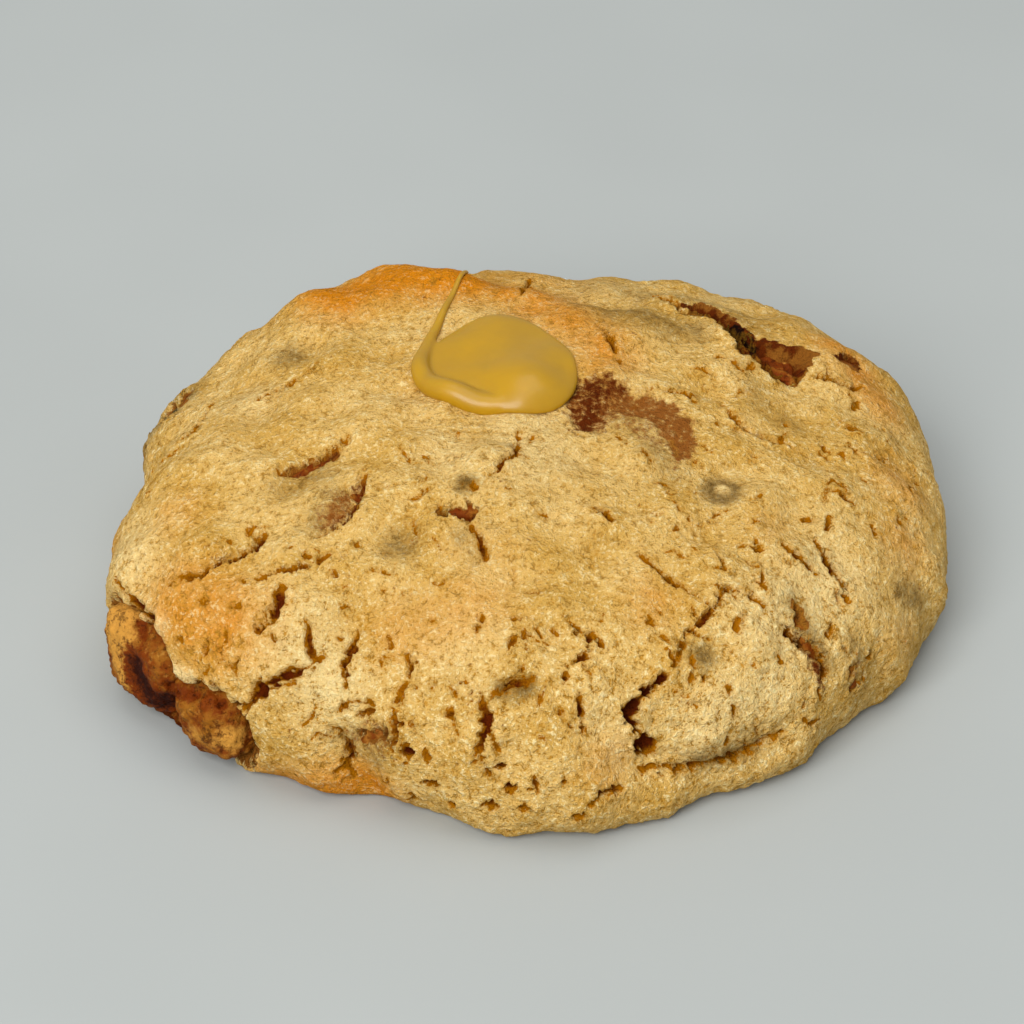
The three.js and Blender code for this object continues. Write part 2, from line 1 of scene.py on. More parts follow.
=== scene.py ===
"""A thick chocolate chip cookie with a drop of caramel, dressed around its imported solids.

The crust is draped over the same dome as the solid dough, from the same named sizes, then cracked, torn and
crumbled. The chocolate pieces and the caramel take the places of their solids. A place on the crust is given
as (x, y) on its flattened map: millimetres along the crust from the crown, to the right and to the back. All
shapes are worked out in millimetres and made in metres.
"""

import logging
import math
from dataclasses import dataclass
from enum import Enum
from functools import cached_property

import bpy
import numpy as np
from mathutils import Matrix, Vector, noise


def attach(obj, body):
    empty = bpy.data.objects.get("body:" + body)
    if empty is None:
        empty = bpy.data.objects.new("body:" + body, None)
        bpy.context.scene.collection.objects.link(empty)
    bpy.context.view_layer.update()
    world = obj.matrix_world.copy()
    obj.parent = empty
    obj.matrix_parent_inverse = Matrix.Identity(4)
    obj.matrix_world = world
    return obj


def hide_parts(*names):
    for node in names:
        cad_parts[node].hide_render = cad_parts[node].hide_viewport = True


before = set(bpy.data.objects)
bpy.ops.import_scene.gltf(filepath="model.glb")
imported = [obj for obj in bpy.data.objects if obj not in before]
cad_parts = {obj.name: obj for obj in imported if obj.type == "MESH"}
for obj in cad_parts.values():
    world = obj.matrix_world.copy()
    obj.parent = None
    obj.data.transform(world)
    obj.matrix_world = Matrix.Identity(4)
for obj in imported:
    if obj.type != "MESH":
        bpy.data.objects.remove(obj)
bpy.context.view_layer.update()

logging.basicConfig(level=logging.INFO, format="%(message)s")
log = logging.getLogger("cookie")

MM = 0.001
GOLDEN_ANGLE = math.pi * (3 - math.sqrt(5))
Place = tuple[float, float]
Route = tuple[Place, ...]
Colour = tuple[float, float, float]
Array = np.ndarray
Socket = bpy.types.NodeSocket
Piece = bpy.types.Object


class Zone(Enum):
    """Where fine tears are scattered on the crust: middle, reach across, reach down, how many, how large."""

    FRONT_WALL = ((-6.0, -38.0), 15.0, 9.5, 46, 0.75)
    RIGHT_PLATE = ((24.0, -27.0), 13.0, 11.0, 40, 0.7)
    LEFT_FRONT = ((-22.0, -25.0), 11.0, 9.0, 26, 0.7)
    MIDDLE = ((2.0, -20.0), 22.0, 12.0, 45, 0.55)
    RIGHT_SHOULDER = ((28.0, -6.0), 13.0, 12.0, 50, 0.65)
    BACK = ((0.0, 38.0), 34.0, 14.0, 50, 0.8)
    LEFT_WALL = ((-40.0, -2.0), 9.0, 16.0, 20, 0.6)

    def __init__(self, middle: Place, across: float, down: float, count: int, size: float) -> None:
        """Keeps the zone's numbers under names."""
        self.middle, self.across, self.down = middle, across, down
        self.count, self.size = count, size


@dataclass(frozen=True)
class Swell:
    """A long low rise or fold of the crust."""

    spread: float
    rise: float
    route: Route


@dataclass(frozen=True)
class Crack:
    """A crack of the crust: half its width, its depth, its route and how far its edges are lifted.

    Where it has a slope, its floor rises slowly over that distance on the left of the route.
    """

    width: float
    depth: float
    route: Route
    lip: float = 0.1
    slope: float = 0.0


@dataclass(frozen=True)
class Stain:
    """A soft patch on the crust along a route, of a strength that fades out over its reach."""

    reach: float
    strength: float
    route: Route


@dataclass(frozen=True)
class Window:
    """An opening in the crust over a chocolate piece: half its length and width, its turn, its depth."""

    place: Place
    half_length: float
    half_width: float
    turn: float
    depth: float


@dataclass(frozen=True)
class Patch:
    """A patch of chocolate melted over the crust: its outline, how far it is sunk and how soft its edge is.

    It is sunk fully at a distance inside its edge, and it covers the crust by its strength.
    """

    depth: float
    soft: float
    route: Route
    reach: float = 0.5
    strength: float = 1.0


@dataclass(frozen=True)
class Morsel:
    """A chocolate piece: node, place, how far its middle is sunk, size, turn and how rough it is."""

    node: str
    place: Place
    sink: float
    size: tuple[float, float, float]
    turn: float
    rough: float = 1.0


SWELLS = (
    Swell(4.0, 1.3, ((-19, 14), (-11, 17), (-3, 15), (4, 11), (10, 7))),
    Swell(4.0, 1.0, ((-17, 16), (-10, 18))),
    Swell(2.5, -0.8, ((-4, 20), (4, 17), (12, 13))),
    Swell(5.0, 0.6, ((0, 24), (10, 21))),
    Swell(3.5, 2.0, ((28, 12), (35, 9))),
    Swell(3.5, 0.9, ((15, 12), (22, 8), (29, 4))),
    Swell(4.5, 0.7, ((-8, -16),)),
    Swell(4.0, 0.8, ((-29, -6), (-34, -14))),
    Swell(4.5, 0.9, ((-30, -24), (-24, -28))),
    Swell(3.5, 1.5, ((-37, 8),)),
    Swell(6.0, 0.6, ((37, -8),)),
    Swell(6.0, 0.8, ((20, -31),)),
    Swell(4.0, 0.7, ((-31, -38), (-22, -44))),
    Swell(1.5, -1.0, ((-18, -39), (-18, -49))),
    Swell(1.2, -0.9, ((11, -42), (20, -41), (28, -36))),
    Swell(3.0, 0.8, ((8, -48), (20, -46), (32, -39))),
)

CRACKS = (
    Crack(
        0.45, 2.6, ((14.5, 14.8), (17, 11), (19.4, 10.6), (21.6, 7.6), (22.3, 5.6), (23.6, 4.2),
        (25.7, 2.9), (28.6, 3.7)), 0.3,
    ),
    Crack(0.9, 3.4, ((21.5, 9.2), (22.3, 8), (23.2, 6.4)), 0.1),
    Crack(0.3, 1.1, ((28.6, 4.2), (29.8, 4.2), (31.1, 3.8), (32.5, 4), (33.6, 5.2))),
    Crack(
        0.32, 1.0, ((-14.6, -8.4), (-15.9, -9.8), (-18, -10.8), (-20.6, -11.5), (-22.2, -11.6)), 0.1, 1.2,
    ),
    Crack(
        0.3, 1.3, ((-17.4, -20.2), (-15.6, -19.6), (-14.1, -18.2), (-13.4, -16.4), (-12.7, -13.6)), 0.1,
        1.8,
    ),
    Crack(0.3, 1.1, ((-6.1, -18.5), (-4.8, -19.7), (-3.6, -20.2), (-2.2, -19.2)), 0.1, 1.0),
    Crack(0.25, 0.8, ((-3.6, -20.7), (-2.4, -22.4), (-1.9, -24.6)), 0.1, 0.6),
    Crack(0.35, 0.8, ((2, 20), (2, 16), (1.5, 12))),
    Crack(0.25, 0.7, ((9, 7), (10, 4), (11, 1))),
    Crack(0.3, 0.8, ((20.5, -2.5), (22, -5), (25, -6.2), (28, -7)), 0.1, 0.5),
    Crack(0.3, 0.8, ((-33, -2), (-30.5, -1.5), (-29, 3.5))),
    Crack(0.35, 0.9, ((1.5, -9), (1, -12.5), (-2, -16.5))),
    Crack(
        0.4, 1.0, ((-31.4, -21.4), (-28.9, -21.9), (-26.8, -20.8), (-24.9, -20.4), (-23.5, -20.4),
        (-22.6, -18.4)), 0.1, 0.8,
    ),
    Crack(0.6, 1.4, ((-28.2, -21.6), (-26.8, -20.9), (-25.6, -20.6))),
    Crack(0.5, 1.2, ((-24.8, -20.5), (-23.6, -20.2), (-22.8, -18.8))),
    Crack(0.3, 0.8, ((-23.5, -23.7), (-21.2, -23.5), (-18.1, -23), (-15.8, -22.2))),
    Crack(0.65, 1.1, ((-21, -24.8), (-21.6, -26.4), (-22.2, -27.8))),
    Crack(0.35, 0.8, ((-23.1, -27.5), (-24, -28.6))),
    Crack(0.3, 0.8, ((-19, -28.4), (-19, -30.1), (-18.8, -32))),
    Crack(
        0.38, 1.1, ((-28, -34.2), (-25.8, -33.3), (-24.4, -32.6), (-22.3, -32.5), (-19.3, -32.1),
        (-17.6, -31.2)),
    ),
    Crack(0.6, 1.2, ((-25.4, -33.4), (-23.6, -32.6))),
    Crack(0.35, 0.9, ((-14.4, -29.5), (-15.7, -32.5), (-16.1, -34.5))),
    Crack(0.4, 0.9, ((-18.6, -37), (-18, -38.6), (-18.4, -40.4), (-20.6, -41))),
    Crack(0.32, 0.8, ((-11.8, -36.6), (-11.6, -38.4), (-12.6, -39.6), (-11.6, -41.4))),
    Crack(0.3, 0.8, ((-9.9, -32), (-9.7, -34.2))),
    Crack(0.5, 1.0, ((-3, -36.8), (-2.6, -39), (-3.1, -40.2), (-3.9, -42))),
    Crack(0.5, 0.9, ((-1.6, -37), (-0.4, -36.2), (1.8, -35.7))),
    Crack(0.35, 0.9, ((5, -30.2), (7.1, -31.3), (8.6, -32.4))),
    Crack(0.4, 0.9, ((7.7, -32.2), (6.4, -33.4), (5.1, -34.4))),
    Crack(0.32, 0.9, ((5.9, -36.6), (6.5, -38), (6.5, -39.6))),
    Crack(0.4, 0.8, ((7.2, -45.8), (8.4, -44.8), (10.6, -44.2))),
    Crack(
        0.42, 1.6, ((14.9, -32.9), (13.3, -34.3), (11.8, -36), (11.2, -36.7), (10.9, -37.8),
        (11.8, -38.6), (13.3, -39.8)),
    ),
    Crack(0.75, 1.5, ((11.4, -36.4), (10.9, -37.6))),
    Crack(0.95, 1.3, ((12.3, -39), (13.9, -40.7))),
    Crack(
        0.28, 0.9, ((15, -32.5), (16, -30), (18.5, -27.5), (19.5, -25.5), (21.5, -25.2), (23.2, -26.2)),
        0.15,
    ),
    Crack(0.4, 1.1, ((24.6, -27.1), (26.5, -27.6), (28.8, -28.2), (30.2, -28.8), (30.8, -30))),
    Crack(0.45, 0.8, ((26.4, -25), (27.4, -26.5)), 0.1, 0.5),
    Crack(0.22, 0.7, ((12, -23), (15, -25.2), (18, -27))),
    Crack(0.4, 1.0, ((28.5, -17.5), (30.5, -20), (32, -22.5))),
    Crack(0.3, 0.8, ((25, -19.2), (28.5, -21))),
    Crack(0.25, 0.7, ((29.8, -14.5), (29.6, -16.5))),
    Crack(0.4, 0.8, ((13, -42.4), (18.5, -41), (24.5, -38.8), (28, -35.6)), 0.1, 0.8),
    Crack(
        0.5, 1.4, ((-38.6, -17.8), (-36.8, -21.3), (-34.9, -23.7), (-37.5, -24.8), (-36.9, -27.2),
        (-33, -30.6), (-29.6, -33.5)), 0.3,
    ),
    Crack(0.3, 0.8, ((-24, 0.5), (-21, 1.5), (-18, 3))),
    Crack(0.22, 0.7, ((13, -2), (16.5, -2), (18.5, -1.5))),
    Crack(0.28, 0.7, ((31, -11.5), (32.5, -12))),
    Crack(0.3, 0.8, ((7, -18.5), (9, -19.2), (10, -20))),
    Crack(0.5, 1.0, ((35.2, -28.6), (35.8, -29.6)), 0.1, 0.6),
    Crack(0.35, 0.7, ((34, -27), (34, -28.6))),
    Crack(0.45, 1.2, ((-15, 27), (-11.5, 30), (-7.5, 30.5), (-4, 34))),
    Crack(0.4, 1.0, ((8, 25.5), (12, 29), (16.5, 29.5), (18.5, 34))),
    Crack(0.4, 1.1, ((26, 19), (29, 22.5), (33.5, 23))),
    Crack(0.35, 0.9, ((-28, 20), (-25, 24), (-26, 29))),
    Crack(0.5, 1.0, ((0, 38), (3.5, 39.5), (5, 42))),
)

# Open pits of the crust: place, radius and depth
PITS = (
    (-11.1, -40.5, 0.95, 1.2), (-9.5, -44, 0.9, 1.1), (-11.1, -38, 0.6, 0.9), (-11.1, -36, 0.4, 0.7),
    (-14.4, -36.3, 0.55, 0.8), (-17.6, -39.2, 0.5, 0.8), (0.4, -30.4, 0.4, 0.6), (4.8, -35.3, 0.6, 0.9),
    (-6.1, -38.1, 0.5, 0.8), (-4.5, -35.5, 0.4, 0.7), (-7.9, -35.3, 0.35, 0.7), (-2, -43.3, 0.6, 0.9),
    (-1.1, -45.4, 0.65, 0.9), (0.3, -47.4, 0.6, 0.7), (-3.4, -47.3, 0.7, 0.8), (-7.6, -46.6, 0.4, 0.6),
    (4.6, -44.3, 0.35, 0.6), (-4.3, -42.4, 0.35, 0.6), (6.1, -47.2, 0.5, 0.6), (23, -20.5, 0.5, 0.8),
    (17.8, -33.2, 0.35, 0.6), (20.3, -30.6, 0.35, 0.6), (-3.9, -16.3, 0.4, 0.3), (-2.8, -16.6, 0.45, 0.3),
)

MORSELS = (
    Morsel("chunk_corner_high", (-41.4, -25), 2.2, (13, 10, 8.5), 112, 3.0),
    Morsel("chunk_corner_low", (-34.8, -33.6), 2.7, (10, 9, 8), 140, 3.0),
    Morsel("chunk_great_crack", (25.6, 5.6), 2.4, (8.5, 5.2, 4.4), -25, 2.0),
    Morsel("chip_crack_end", (32.3, 7.6), 1.4, (4.2, 2.8, 3), 10),
    Morsel("chunk_by_drop", (12.3, -5.4), 2.1, (13, 8, 4.8), -22, 1.6),
    Morsel("chip_slant", (-15.3, -17), 2.15, (7.6, 3.6, 4), 62),
    Morsel("chip_slit", (-18.5, -10.8), 1.6, (6, 2.2, 3.4), 14),
    Morsel("chip_hollow", (-4, -18.4), 1.8, (4.6, 3.4, 3.8), 5),
    Morsel("chip_front", (-15, -39), 2.0, (6.6, 3.6, 3.8), 12, 1.5),
    Morsel("chip_plate", (28.6, -27.4), 1.5, (6.4, 2.6, 3.4), -50),
    Morsel("chip_right", (34.6, -28), 1.5, (4, 3, 3.4), -60),
    Morsel("chip_left_end", (-34.2, 8.4), 1.6, (6.5, 3, 3.6), 30),
)

WINDOWS = (
    Window((-41.4, -24.5), 6.9, 4.8, 112, 3.6),
    Window((-35, -34), 5.4, 4.6, 140, 3.2),
    Window((-15, -38.6), 1.8, 0.8, 12, 0.7),
    Window((-4.4, -19.2), 1.7, 0.7, 4, 1.3),
    Window((-34.2, 8.4), 2.4, 1.0, 30, 1.2),
)

MOLTEN = (
    Patch(
        2.0, 0.12, ((22.2, 5.9), (23.1, 4.8), (24.6, 3.5), (25.7, 2.9), (27, 3.2), (28.4, 4.2),
        (28.6, 5.8), (29.4, 7), (27.5, 7.5), (26.1, 7.2), (24.5, 7.8), (23, 8.2)), 2.2,
    ),
    Patch(
        1.7, 0.12, ((16, 12.2), (19.2, 10.9), (21.5, 7.8), (22.2, 5.8), (24.2, 4.2), (25.4, 7.2),
        (23.4, 8.6), (22.3, 10), (20.7, 12.4), (18.6, 13.4)), 1.5,
    ),
    Patch(1.1, 0.15, ((30.8, 7.2), (31.9, 9), (32.9, 9.2), (33.7, 8.7), (33.3, 7.6), (31.9, 6.9))),
    Patch(0.0, 0.3, ((25.8, -24.8), (27.2, -24.9), (28.2, -26.4), (27.2, -26.7))),
    Patch(0.0, 0.25, ((-18.2, -38.2), (-17.2, -38.6), (-17.4, -40), (-18.4, -39.6))),
    Patch(0.0, 0.4, ((-40, -27), (-44.5, -27.5), (-47.5, -24), (-49, -32), (-41, -38), (-37, -31))),
)

FILMS = (
    Patch(
        0.4, 1.1, ((5.6, -3.1), (7.4, -1), (9.3, -0.7), (11.5, -1.5), (11.8, -3.2), (10.4, -5),
        (8.8, -8.6), (6.4, -8.4)),
    ),
    Patch(
        0.1, 1.4, ((8.6, -5), (11.4, -5.2), (13.8, -6.6), (15.2, -9.6), (14.2, -11), (11, -8.6),
        (8.8, -8.6)), 0.5, 0.55,
    ),
    Patch(
        0.5, 0.3, ((-21.1, -11.5), (-19.3, -10.7), (-17.3, -10.3), (-15.6, -9.5), (-17.3, -11.2),
        (-19.3, -12), (-20.4, -12)), 0.4,
    ),
    Patch(
        0.1, 0.6, ((25.8, -27), (28.5, -27.6), (30.6, -29), (31.2, -31), (29.8, -30.8), (27.8, -28.9)),
        0.5, 0.8,
    ),
    Patch(
        0.15, 0.9, ((10.4, -2.4), (13.6, -2.5), (15.9, -3.6), (17.4, -5.4), (18, -8.2), (17.4, -10.7),
        (15.8, -12), (15.2, -9.6), (14.4, -7.6), (13.3, -6.4), (9.8, -5.6)),
    ),
    Patch(
        0.25, 1.3, ((-16.6, -19.9), (-14.2, -18.6), (-13.2, -16), (-12.9, -14.3), (-14.4, -15),
        (-16.3, -15.9), (-18, -18.7)), 1.0, 0.75,
    ),
    Patch(
        0.1, 1.0, ((-17.6, -37.4), (-14.6, -36.6), (-12.4, -37.6), (-12.2, -39.6), (-16.6, -40)), 0.5,
        0.5,
    ),
    Patch(0.1, 0.8, ((33.2, -26.4), (35, -27), (36, -28.8), (34.6, -29.4), (33, -28.2)), 0.5, 0.4),
)

# Small dents and knobs of the crust: place, reach and rise
KNOBS = (
    (19.9, -14, 2.1, -0.5),
    (20, -14, 0.8, 0.75),
    (-10, -22, 3.0, -0.45),
    (-17, -13.6, 3.0, -0.4),
    (0.6, -36.4, 1.6, -0.5),
    (10.5, 9.5, 3.0, -0.4),
)

# Tones of the chocolate, along routes: melted darkest where it is hollow, its own dark tone with painted
# shade in the hollows, and pale where milky
HOLLOWS = (
    Stain(1.3, 0.9, ((25, 5.4), (27.6, 5.2))),
    Stain(0.9, 0.35, ((-5.4, -19.2), (-3.4, -19.2))),
    Stain(1.9, 1.7, ((-40.6, -25.4), (-41.4, -26.8), (-41.6, -28.6), (-40.4, -30))),
    Stain(1.4, 0.5, ((-38.4, -24.8), (-38.8, -28.4))),
    Stain(0.8, 0.6, ((-37.4, -21.4), (-37.4, -24), (-37.8, -25.4))),
    Stain(1.2, 0.9, ((-40.4, -27), (-40.4, -29.4), (-38.8, -30.6))),
    Stain(0.7, 1.0, ((-30.4, -33), (-31.6, -34), (-32.6, -35.6))),
    Stain(0.8, 0.8, ((-36.8, -29.4), (-35, -30.6), (-33.4, -31.2))),
    Stain(3.2, 1.7, ((20.8, 9), (21.6, 7))),
    Stain(0.9, 0.8, ((22, 5.6), (24.2, 4.2), (26.4, 3.2))),
    Stain(3.0, 0.45, ((-20, -11), (-17, -10.4))),
    Stain(1.6, 0.3, ((-16.4, -38.8), (-15.2, -38.8))),
    Stain(2.0, 0.4, ((-4, -19.6),)),
    Stain(2.0, 0.3, ((29, -28),)),
    Stain(1.6, 0.6, ((7.4, -2.4), (8.4, -5.4), (7.6, -7.4))),
    Stain(0.9, 0.9, ((-15.9, -19.6), (-14, -18.4), (-13.1, -16.4), (-12.8, -14.2))),
)

MILKY = (
    Stain(2.1, 1.4, ((-39.8, -18.6), (-40.4, -21), (-41.2, -22.8), (-42.6, -24.2))),
    Stain(1.7, 0.8, ((-36.2, -33.8), (-34, -35), (-31.6, -35.8))),
    Stain(1.3, 0.7, ((26.4, 6), (28.4, 5.6))),
    Stain(2.4, 0.3, ((-17.3, -17.4), (-15.4, -17))),
    Stain(4.0, 0.35, ((-15, -39),)),
)

BROWNED = (
    Stain(4.8, 0.95, ((-16, 14.5), (-11, 16), (-4, 15.5))),
    Stain(4.6, 0.7, ((-4, 15.5), (4, 12.5))),
    Stain(8.0, 0.35, ((-22, 19), (-10, 24), (4, 20))),
    Stain(6.0, 0.5, ((-36, 27), (-22, 38), (-4, 45), (14, 43), (30, 34), (42, 20))),
    Stain(4.5, 0.62, ((3, 10.5), (8, 6), (9.5, 2.5))),
    Stain(5.5, 0.42, ((-10, -30), (-3, -29))),
    Stain(4.5, 0.4, ((13, -27.5),)),
    Stain(4.0, 0.4, ((9, -42),)),
    Stain(4.5, 0.45, ((38, -13),)),
    Stain(6.5, 0.62, ((-31, -24), (-27, -27))),
    Stain(4.5, 0.4, ((-31, -14),)),
    Stain(4.5, 0.5, ((-42, -10),)),
    Stain(5.0, 0.5, ((37.5, -6),)),
    Stain(3.6, 0.6, ((31, 9.5), (36, 4.5))),
    Stain(4.8, 0.8, ((-33, -44), (-24, -43), (-19, -44))),
    Stain(5.0, 0.3, ((40, -22),)),
    Stain(6.0, 0.3, ((-4, -28), (-2, -24))),
    Stain(4.0, 0.3, ((24, -18),)),
)

COCOA = (
    Stain(3.0, 0.4, ((11, -7), (13.5, -8.5), (15, -13))),
    Stain(1.9, 1.3, ((19.9, -14),)),
    Stain(0.8, -1.3, ((20, -14),)),
    Stain(2.6, 0.6, ((-21, 6.5),)),
    Stain(2.8, 0.6, ((-10, -22),)),
    Stain(2.0, 0.3, ((8.5, -22),)),
    Stain(3.0, 0.55, ((8, 11), (10.5, 9.5), (14, 8.5), (17.5, 7.5))),
    Stain(2.2, 0.45, ((22.5, 2.5), (24, -1), (27, -3))),
    Stain(2.4, 0.5, ((-17.6, -18.8), (-16, -16.6))),
    Stain(2.6, 0.45, ((-21, -13.4), (-17, -13))),
    Stain(1.4, 0.8, ((-3.6, -16.4),)),
    Stain(1.8, 0.45, ((-4, -22), (-3, -24))),
    Stain(1.7, 0.75, ((17.5, -31.5),)),
    Stain(1.8, 0.6, ((38.5, -18), (42, -16.5))),
    Stain(1.8, 0.5, ((33, -26), (35, -28.5))),
    Stain(2.0, 0.55, ((19, -40), (25, -38))),
    Stain(1.4, 0.6, ((26, -24.8), (30, -28.6))),
    Stain(2.4, 0.6, ((-38, 6), (-36, 7), (-32, 9.5))),
    Stain(2.0, 0.5, ((-18, -38), (-15, -40), (-13, -38.6))),
    Stain(1.6, 0.7, ((-0.8, -36.6), (1, -36.2))),
    Stain(4.0, 0.4, ((8, 18), (16, 15), (24, 11))),
)

# Where the chocolate melted over the crust is darkest: its own dark red-brown tone, and painted shade along
# the lips of the cracks and in the deep pit of the great crack
DARK_AND_SHADE = (
    Stain(1.4, 1.8, ((21.6, 9), (22.4, 8.2), (23, 7))),
    Stain(0.9, 0.8, ((17, 12.8), (19.6, 12), (21.2, 10))),
    Stain(1.2, 1.0, ((22.8, 6.4), (24.6, 5), (26, 4.4), (27.4, 4.6))),
    Stain(0.8, 0.8, ((23.4, 8), (25, 7.4), (26.8, 7.2))),
    Stain(1.0, 0.8, ((31, 7.6), (33.2, 8.4))),
    Stain(2.0, 0.62, ((7.2, -2.8), (8.8, -2.6), (8, -5), (7.6, -7))),
    Stain(1.2, 0.5, ((9.6, -1.4), (10.8, -2.4))),
    Stain(0.7, 0.35, ((-20.6, -11.5), (-17.3, -10.8), (-15.9, -10))),
    Stain(0.8, 0.8, ((-15.9, -19.6), (-14, -18.4), (-13.1, -16.4), (-12.8, -14.2))),
    Stain(1.5, 0.7, ((-46, -27), (-44, -31), (-38, -34))),
    Stain(0.9, 1.0, ((26, -27.2), (28.4, -28.2), (30.2, -29), (30.8, -30.4))),
)

PALE = (
    Stain(4.0, 0.35, ((10, -38),)),
    Stain(6.0, 0.2, ((-5.5, -33),)),
    Stain(4.0, 0.6, ((-17.5, -33.5), (-20, -30))),
    Stain(3.5, 0.5, ((18.5, -37), (24, -33))),
    Stain(5.0, 0.4, ((3.5, -13), (2, -9))),
    Stain(5.0, 0.5, ((24, -27), (30, -20))),
    Stain(1.0, 1.0, ((-36.5, -22), (-34, -24.4), (-36, -26), (-33, -30), (-29.6, -33))),
    Stain(3.0, 0.4, ((-38, -14), (-36, -17))),
    Stain(0.6, 0.8, ((20, -14),)),
    Stain(3.5, 0.45, ((-5.2, -11.6),)),
    Stain(3.5, 0.35, ((-24.8, 0.4),)),
)


def smooth(values: Array, low: float, high: float) -> Array:
    """Eases values from 0 at low to 1 at high.

    Args:
        values: The values to ease.
        low: Where the result is 0.
        high: Where the result is 1.

    Returns:
        The eased values, between 0 and 1.
    """
    share = np.clip((values - low) / (high - low), 0, 1)
    return share * share * (3 - 2 * share)


def squared_gaps(points: Array, line: Array) -> Array:
    """The square of each point's distance to the nearest point of a line."""
    squares = (points**2).sum(1)[:, None] + (line**2).sum(1)[None] - 2 * points @ line.T
    return np.clip(squares.min(1), 0, None)


def between(a: Array, b: Array, c: Array, d: Array, share: Array) -> Array:
    """A smooth curve's value at a share of the way from b to c, with a before them and d after them."""
    bend = 2 * a - 5 * b + 4 * c - d + share * (3 * (b - c) + d - a)
    return b + 0.5 * share * (c - a + share * bend)


def crumbs(points: Array, size: float, seed: float) -> Array:
    """Rounded crumbs with sharp valleys between them.

    Args:
        points: Points in millimetres, one per row.
        size: Size of a crumb, in millimetres.
        seed: Moves the pattern to another place.

    Returns:
        The height of the crumbs at each point, from 0 to 1.
    """
    scaled = points / size + seed
    gaps = np.array([noise.voronoi(p)[0][:2] for p in scaled.tolist()])
    return np.clip(0.55 * (1 - gaps[:, 0]) + 0.9 * np.clip(gaps[:, 1] - gaps[:, 0], 0, 0.5), 0, 1)


def crumb_draws(points: Array, size: float) -> Array:
    """One random value for each crumb.

    Args:
        points: Points in millimetres, one per row.
        size: Size of a crumb, in millimetres.

    Returns:
        The value of the crumb that each point is in, from -1 to 1.
    """
    middles = np.array([noise.voronoi(p)[1][0] for p in (points / size).tolist()])
    return np.sin(middles @ np.array([127.1, 311.7, 74.7]) * 43.0)


def inside(x: Array, y: Array, route: Route) -> Array:
    """Whether each place on the map is inside a closed route."""
    within = np.zeros(len(x), bool)
    for (ax, ay), (bx, by) in zip(route, (*route[1:], route[0])):
        if ay != by:
            within ^= ((ay > y) != (by > y)) & (x < (bx - ax) * (y - ay) / (by - ay) + ax)
    return within


def grain(points: Array, size: float, seed: float) -> Array:
    """Smooth random values at points.

    Args:
        points: Points in millimetres, one per row.
        size: Size of a lump of the pattern, in millimetres.
        seed: Moves the pattern to another place.

    Returns:
        A value from about -1 to 1 for each point.
    """
    scaled = points / size + seed
    return np.array([noise.noise(p) for p in scaled.tolist()])


